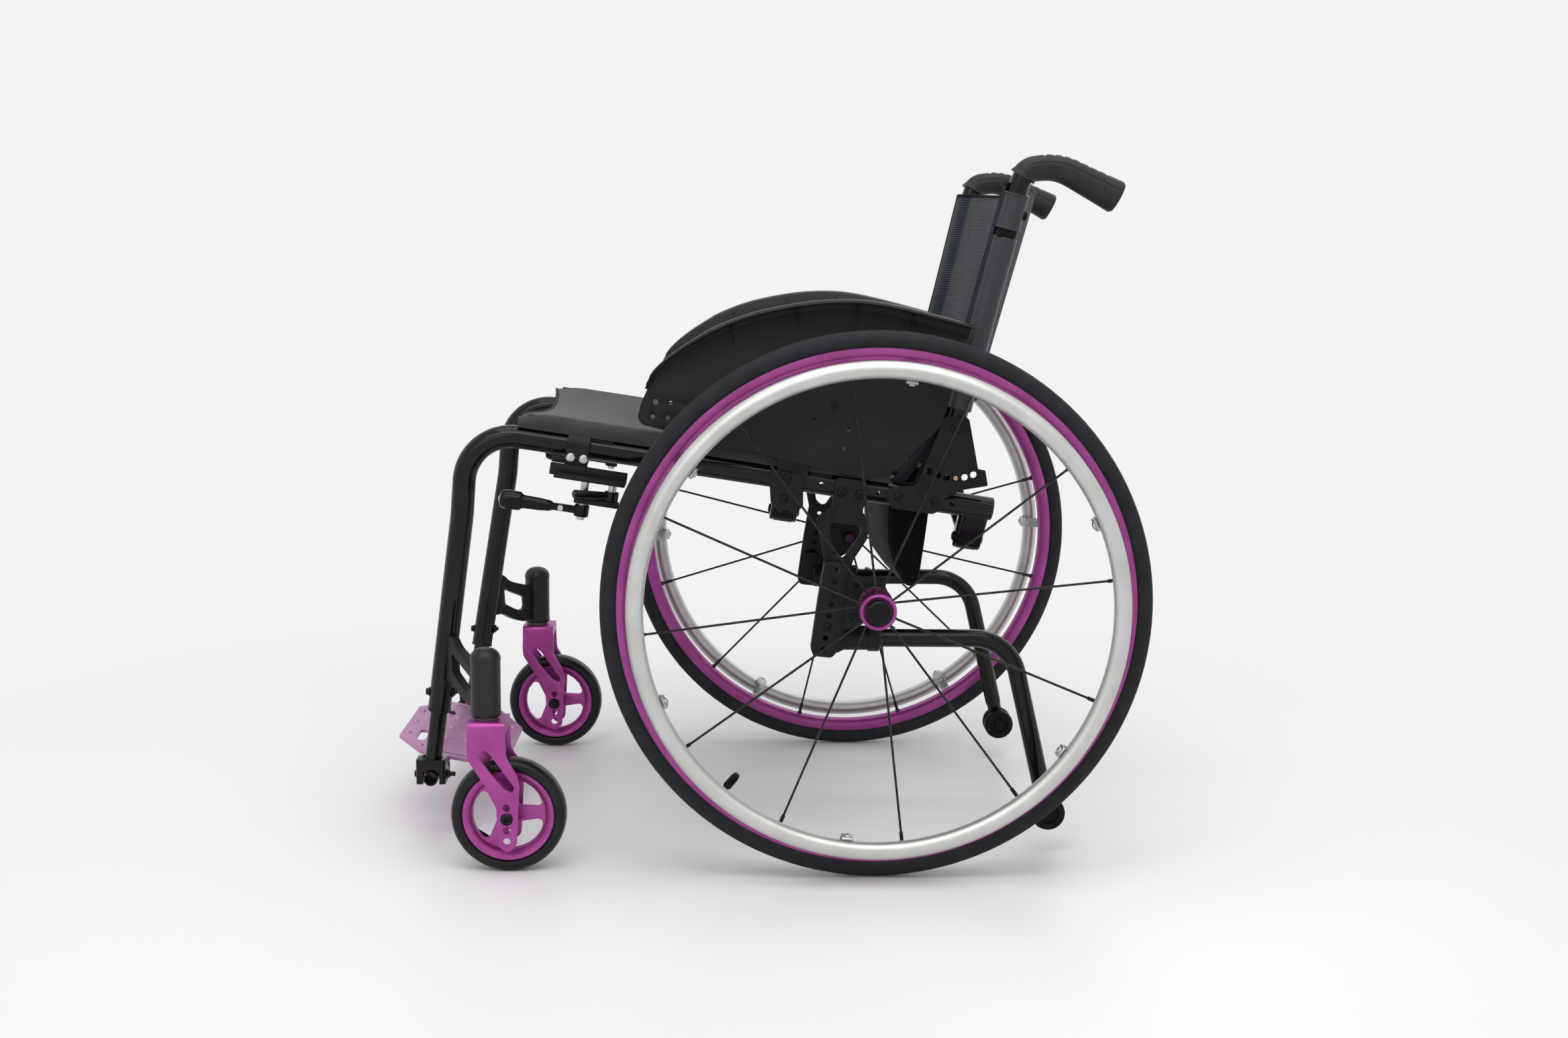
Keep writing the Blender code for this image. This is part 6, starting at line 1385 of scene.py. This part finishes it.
def make_footrest():
    """Posts in the front legs, and the footplate that flips up on the left one."""
    foot = leg_point(0.084)
    pipe = rod(leg_point(0.2155), leg_point(0.0950), 0.0095, 32)
    corners = [(foot.x + side * 0.0125, foot.y + end * 0.0165)
               for side, end in ((-1, -1), (1, -1), (1, 1), (-1, 1))]
    clamp = plate(rounded(corners, 0.0030), 0.028, toward_z(0, 0, 0.084))
    channel = block((foot.x - 0.03, FOOT_Y - 0.0092, 0.0600),
                    (foot.x + 0.03, FOOT_Y + 0.0092, 0.0845), 0.0001)
    clamp = take_away(clamp, channel)
    ease_edges(clamp, 0.0012)
    bead = weld_bead([foot + Vector((0.0105 * cos(a), 0.0105 * sin(a), 0.0142))
                      for a in [2 * pi * i / 12 for i in range(13)]], 0.0018)
    shared = together([pipe, clamp, bead])

    # the tube under the footplate: the left end carries the hinge, the right one rests in a hook
    outer = foot.x + 0.0165
    bore = [(outer - 0.0004, 0.0080), (outer, 0.0076), (outer, 0.0062), (outer - 0.0140, 0.0060)]
    stub = turned([(0.1464, 0.0076), (0.1470, 0.0080)] + bore, toward_x(0, FOOT_Y, FOOT_Z), 32)
    right_stub = turned([(0.1400, 0.0076), (0.1406, 0.0080)] + bore,
                        toward_x(0, FOOT_Y, FOOT_Z), 32)
    neck = block((HINGE_X, FOOT_Y - 0.0067, FOOT_Z - 0.0055),
                 (0.1495, FOOT_Y + 0.0067, FOOT_Z + 0.0055), 0.001)
    eye = turned([(-0.0070, 0.0072), (-0.0064, 0.0079), (0.0064, 0.0079), (0.0070, 0.0072)],
                 toward_y(HINGE_X, FOOT_Y, FOOT_Z), 32)
    right = together([other_side(shared), other_side(right_stub)])
    discard(right_stub)
    left = together([shared, stub, neck, eye])
    fit(left, "footrest_post_left", "root", GLOSS, "frame_black", "footrest_tube_left", smooth=35)
    fit(right, "footrest_post_right", "right_side", GLOSS, "frame_black", "footrest_tube_right",
        smooth=35)
    x, y, z = foot.x, foot.y, 0.0790
    screws = [
        hex_bolt(0.0046, 0.0040, along((x, y + 0.0163, z), (x, y + 0.03, z))),
        rod((x, y + 0.0180, z), (x, y + 0.0262, z), 0.0026, 16),
        hex_bolt(0.0040, 0.0034, along((x, y - 0.0163, z), (x, y - 0.03, z)))]
    fit_pair(together(screws), "foot_clamp_screws", *SIDES, BLACK_STEEL, "bolt_steel",
             smooth=30)

    half, side = 0.0665, 0.0325
    outline = rounded([(-0.070, -half), (0.070, -half), (0.120, -side), (0.120, side),
                       (0.057, half), (-0.057, half), (-0.120, side), (-0.120, -side)], 0.008)
    holes = []
    for x in (-1, 1):
        for x0, x1, y0, y1 in ((0.030, 0.075, -0.046, -0.036), (0.030, 0.075, 0.030, 0.040),
                               (0.106, 0.110, -0.022, 0.022)):
            corners = [(x * x0, y0), (x * x1, y0), (x * x1, y1), (x * x0, y1)]
            holes.append(rounded(corners, 0.0049 if x1 - x0 > 0.01 else 0.0019, radians(30)))
    board = plate(outline, 0.004, plate_frame(), holes, 0.0008)
    pads = []
    spots = [(x, v) for v in (-0.059, 0.056) for x in (-0.053, 0.0, 0.053)]
    spots += [(x, v) for v in (-0.014, 0.012) for x in (-0.047, 0.0, 0.047)]
    spots += [(x, v) for v in (-0.0375, 0.032) for x in (-0.094, 0.094)]
    for x, v in spots:
        pads.append(turned([(0.0016, 0.0050), (0.0023, 0.0047), (0.0032, 0.0038),
                            (0.0038, 0.0025), (0.0040, 0.0010)],
                           plate_frame() @ toward_z(x, v, 0), 20))
    # the footplate's pale purple includes a painted reflection of the white surroundings
    fit(together([board] + pads), "foot_board", "footplate_body", PURPLE_WITH_PAINTED_REFLECTION,
        "purple_anodised", "footplate", smooth=30)
    screws = []
    for x in (-0.065, 0.065):
        for v in (0.0215, -0.0240):
            screws.append(button_screw(0.0044, 0.0022, plate_frame() @ toward_z(x, v, 0.0019)))
    fit(together(screws), "foot_board_screws", "footplate_body", BLACK_STEEL, "bolt_steel",
        smooth=30)

    parts = [rod((-0.1325, FOOT_Y, FOOT_Z), (0.124, FOOT_Y, FOOT_Z), 0.0080, 32)]
    parts.append(block((0.112, FOOT_Y - 0.0113, FOOT_Z - 0.0080),
                       (0.128, FOOT_Y + 0.0113, FOOT_Z + 0.0056), 0.0014))
    for face in (-1, 1):
        parts.append(plate(link((0.122, FOOT_Z), 0.0070, (HINGE_X, FOOT_Z), 0.0072), 0.004,
                           front_plane(FOOT_Y + face * 0.0093), edge=0.0008))
        parts.append(hex_bolt(0.0042, 0.0022, along((HINGE_X, FOOT_Y + face * 0.0112, FOOT_Z),
                                                    (HINGE_X, FOOT_Y + face * 0.02, FOOT_Z))))
    parts.append(rod((HINGE_X, FOOT_Y - 0.0112, FOOT_Z), (HINGE_X, FOOT_Y + 0.0112, FOOT_Z),
                     0.0028))
    base = (FOOT_Y - BOARD_Y) / cos(BOARD_TILT)
    for x in (-0.065, 0.065):
        parts.append(block((x - 0.011, base - 0.013, -0.013), (x + 0.011, base + 0.013, -0.0023),
                           0.0018, plate_frame(), 3))
    arc = [pi * i / 14 for i in range(15)]
    hook = [(FOOT_Y + r * cos(a), FOOT_Z + r * sin(a))
            for r, angles in ((0.012, arc), (0.0083, arc[::-1])) for a in angles]
    parts.append(plate(hook, 0.0085, side_plane(-0.1405), edge=0.0006))
    parts.append(turned([(-0.1365, 0.0112), (-0.1360, 0.0119), (-0.1272, 0.0119),
                         (-0.1262, 0.0100)], toward_x(0, FOOT_Y, FOOT_Z), 36))
    fit(together(parts), "foot_board_carrier", "footplate_body", PURPLE, "purple_anodised",
        "footplate_mount", smooth=32)


# Cloth

def cloth_grid(columns, rows, name):
    """Grid whose own width and length carry the weave."""
    clear_bench()
    bpy.ops.mesh.primitive_grid_add(x_subdivisions=columns, y_subdivisions=rows, size=2)
    sheet = bpy.context.object
    sheet.name = name
    return sheet


def seat_surface(u, v):
    """Point of the seat cloth: u from -1 to 1 across, v from 0 at the front to 1."""
    edge = 0.90  # beyond it the cloth goes round the rail, and beyond the bend it hangs
    bend = 0.55
    wrap = 0.0072
    flare = 0.0021
    inside = min(1.0, abs(u) / edge)
    front = -0.394 + 0.014 * (1 - inside * inside)
    s = front + (0.016 - front) * v
    droop = 0.0065 * max(0.0, 1 - v / 0.10) ** 2
    if abs(u) > edge:
        sign = 1 if u > 0 else -1
        run = (abs(u) - edge) / (1 - edge)
        if run < bend:
            angle = run / bend * pi / 2
            out = wrap + flare * (angle / (pi / 2)) ** 2
            return seat_point(sign * (FRAME_X + out * sin(angle)), s,
                              RAIL_T + wrap * cos(angle) - droop)
        fall = (run - bend) / (1 - bend)
        return seat_point(sign * (FRAME_X + wrap + flare), s,
                          RAIL_T - (0.0092 - droop) * fall - droop)
    sag = 0.022 * (0.55 + 0.45 * sqrt(max(0.0, sin(pi * min(1, max(0, v))))))
    across = u / edge
    fold = 0.0016 * sin(5 * pi * v + 3 * across) * (1 - across ** 2)
    fold += 0.0008 * sin(9 * across + 7 * v) * (1 - across ** 2) * min(1, 4 * v)
    t = RAIL_T + wrap - sag * (1 - across ** 2) + fold - droop * across ** 6
    return seat_point(across * FRAME_X, s, t)


def back_surface(u, v):
    """Point of the back cloth: u from -1 to 1 across, v from 0 at the bottom to 1."""
    z = 0.506 + 0.240 * v
    centre = post_point(z)
    flat = 0.88  # beyond it the cloth goes round the post
    wrap = 0.0152
    below = max(0.0, -v)
    forward = 0.120 * below ** 1.15
    if abs(u) > flat:
        turn = radians(98) * (abs(u) - flat) / (1 - flat)
        side = 1 if u > 0 else -1
        return Vector((side * (centre.x - wrap * cos(turn)),
                       centre.y - wrap * sin(turn) - forward, z))
    u /= flat
    bulge = 0.036 + 0.009 * v
    calm = 1 - 0.9 * max(0.0, v) ** 3
    pull = 0.0036 * cos(4.4 * pi * u + 1.6 * v) * (1 - u * u) * calm
    pull += 0.0012 * sin(21 * u + 3.0 * v) * (1 - u * u) * calm
    drop = -0.006 * (1 - u * u) * max(0.0, v) ** 4
    belly = bulge * (1 - u * u) * (1 - min(1, below * 3))
    return Vector((u * (centre.x - wrap), centre.y + belly + pull - forward, z + drop))


def flap_section(share):
    """Point (y, z) of the hanging flap's profile, once round."""
    line = [(0.030, 0.428), (0.0240, 0.400), (0.0215, 0.372), (0.0225, 0.346), (0.0290, 0.321),
            (0.0385, 0.302), (0.0440, 0.296), (0.0500, 0.2945), (0.0550, 0.299), (0.0580, 0.308),
            (0.0630, 0.345), (0.0665, 0.375), (0.0690, 0.402), (0.0680, 0.425), (0.0500, 0.432),
            (0.030, 0.428)]
    place = share * (len(line) - 1)
    i = min(int(place), len(line) - 2)
    part = place - i
    return [a + (b - a) * part for a, b in zip(line[i], line[i + 1])]


def make_cloth():
    """Seat cloth, back cloth and the lower flap, with their hems."""
    seat = cloth_grid(110, 72, "seat_cloth")
    for vertex in seat.data.vertices:
        vertex.co = seat_surface(vertex.co.x, (vertex.co.y + 1) / 2)
    thicken(seat, 0.0014, 1)
    dress(seat, "seat_cloth", SEAT_CLOTH, 60)
    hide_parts("seat_sling")
    hems = []
    for v, size in ((0.004, 0.0021), (0.996, 0.0021), (0.040, 0.0007)):
        path = [seat_surface(0.90 * u / 40, v) + Vector((0, 0, 0.0006)) for u in range(-40, 41)]
        hems.append(tube(path, size, 3))
    for u in (-0.88, -0.86, 0.86, 0.88):
        hems.append(tube([seat_surface(u, v / 40) + Vector((0, 0, 0.0004))
                          for v in range(0, 41)], 0.0006, 3))
    hem = together(hems)
    dress(hem, "seat_hems", PIPING, 60)
    for piece in (seat, hem):
        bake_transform(piece)

    back = cloth_grid(128, 64, "back_cloth")
    for vertex in back.data.vertices:
        vertex.co = back_surface(vertex.co.x, -0.42 + 1.42 * (vertex.co.y + 1) / 2)
    thicken(back, 0.0024, 0)
    fit(back, "back_cloth", "backrest_left", BACK_CLOTH, "back_mesh", "back_sling", smooth=60)
    trims = [tube([back_surface(u / 48, 0.994) for u in range(-48, 49)], 0.0024, 3)]
    for u in (-0.985, 0.985):
        trims.append(tube([back_surface(u, -0.40 + v / 20 * 1.40) for v in range(0, 21)],
                          0.0022, 3))
    trims = fit(together(trims), "back_binding", "backrest_left", PIPING, "back_mesh",
                smooth=60)
    for piece in (back, trims):
        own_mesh(piece)

    half = 0.150
    ring = [flap_section(i / 40) for i in range(40)]
    flap = plate(ring, 2 * half, side_plane(0))
    ease_edges(flap, 0.0055, 4, 50)
    for x in (-0.10, -0.05, 0, 0.05, 0.10):
        open_mesh(flap)
        bpy.ops.mesh.bisect(plane_co=(x, 0, 0.37), plane_no=(1, 0, 0))
        clear_bench()
    for vertex in flap.data.vertices:
        front = min(1.0, max(0.0, (0.056 - vertex.co.y) / 0.025))
        vertex.co.y -= 0.016 * (1 - (vertex.co.x / half) ** 2) * front
    fit(flap, "back_flap", "root", FLAP, "back_mesh", smooth=60)
    trims = []
    middle_y, middle_z = 0.0470, 0.372
    for x in (-half, half):
        line = [Vector((x, middle_y + (y - middle_y) * 0.90, middle_z + (z - middle_z) * 0.955))
                for y, z in ring]
        trims.append(tube(line + [line[0]], 0.0011, 3))
    trims = fit(together(trims), "back_flap_binding", "root", PIPING, "back_mesh", smooth=60)
    for piece in (flap, trims):
        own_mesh(piece)


# Ground, light and camera

def backdrop_power(tree, low):
    """Full strength for the camera and for gloss and glass, a low one as light on the chair."""
    path = add(tree, "LightPath")
    seen = add(tree, "Math", operation="MAXIMUM")
    wire(tree, path, "Is Camera Ray", seen, 0)
    wire(tree, path, "Is Glossy Ray", seen, 1)
    glass = add(tree, "Math", operation="MAXIMUM")
    wire(tree, seen, "Value", glass, 0)
    wire(tree, path, "Is Transmission Ray", glass, 1)
    return spread(tree, glass, "Value", low, 1.0)


def make_stage():
    """Pale floor, white world, four lamps and the camera."""
    scene = bpy.context.scene
    clear_bench()
    bpy.ops.mesh.primitive_circle_add(vertices=96, radius=14, fill_type="NGON")
    floor = bpy.context.object
    floor.name = "studio_floor"
    bpy.ops.object.mode_set(mode="EDIT")
    bpy.ops.mesh.inset(thickness=0.2)
    bpy.ops.object.mode_set(mode="OBJECT")
    coat, tree, shader = new_finish("studio_floor_white")
    backdrop = (0.896, 0.896, 0.905, 1)
    shader.inputs["Base Color"].default_value = (0.92, 0.92, 0.925, 1)
    shader.inputs["Roughness"].default_value = 0.45
    where = add(tree, "TexCoord")
    flat = add(tree, "VectorMath", operation="LENGTH")
    wire(tree, where, "Object", flat, 0)
    fade = add(tree, "MapRange", interpolation_type="SMOOTHSTEP")
    fade.inputs["From Min"].default_value = 0.55
    fade.inputs["From Max"].default_value = 1.5
    wire(tree, flat, "Value", fade, "Value")
    power = backdrop_power(tree, 0.6)
    glow = add(tree, "Emission")
    glow.inputs["Color"].default_value = backdrop
    wire(tree, power, "Result", glow, "Strength")
    mix = add(tree, "MixShader")
    wire(tree, fade, "Result", mix, "Fac")
    wire(tree, shader, "BSDF", mix, 1)
    wire(tree, glow, "Emission", mix, 2)
    wire(tree, mix, "Shader", tree.nodes["Material Output"], "Surface")
    floor.data.materials.append(coat)

    world = bpy.data.worlds.new("studio")
    scene.world = world
    world.use_nodes = True
    tree = world.node_tree
    tree.nodes.clear()
    power = backdrop_power(tree, 0.66)
    sky = add(tree, "Background")
    sky.inputs["Color"].default_value = backdrop
    wire(tree, power, "Result", sky, "Strength")
    out = add(tree, "OutputWorld")
    wire(tree, sky, "Background", out, "Surface")

    for name, spot, wide, tall, watts in (
            ("top_softbox", (0.6, 0.1, 2.6), 2.4, 2.4, 27),
            ("strip_light", (1.5, -0.1, 1.9), 2.6, 0.22, 9),
            ("side_softbox", (2.6, -1.3, 1.7), 1.6, 1.6, 7),
            ("far_softbox", (-2.2, 1.2, 1.9), 1.6, 1.6, 7)):
        clear_bench()
        bpy.ops.object.light_add(type="AREA", location=spot)
        lamp = bpy.context.object
        lamp.name = name
        lamp.data.shape = "RECTANGLE"
        lamp.data.size = wide
        lamp.data.size_y = tall
        lamp.data.energy = watts
        aim = Vector((0, 0, 0.35)) - Vector(spot)
        lamp.rotation_euler = aim.to_track_quat("-Z", "Y").to_euler()

    # the photograph's view, fitted on the rims and castors
    clear_bench()
    bpy.ops.object.camera_add()
    camera = bpy.context.object
    camera.name = "photo_camera"
    yaw, pitch, roll = radians(1.48), radians(8.06), radians(0.58)
    forward = Vector((-cos(pitch) * cos(yaw), cos(pitch) * sin(yaw), -sin(pitch)))
    right = forward.cross(Vector((0, 0, 1))).normalized()
    up = right.cross(forward)
    across = right * cos(roll) + up * sin(roll)
    over = up * cos(roll) - right * sin(roll)
    frame_axes = Matrix((across, over, -forward)).transposed().to_4x4()
    camera.matrix_world = Matrix.Translation((2.221, -0.150 + AXLE_Y, 0.665)) @ frame_axes
    camera.data.lens = 42.6
    camera.data.sensor_width = 36
    camera.data.sensor_fit = "HORIZONTAL"
    camera.data.dof.use_dof = False
    scene.camera = camera
    scene.view_settings.view_transform = "Standard"


make_rear_wheels()
make_castors()
make_frames()
make_braces()
make_axle_side()
make_guards()
make_back()
make_brakes()
make_footrest()
make_cloth()
make_stage()
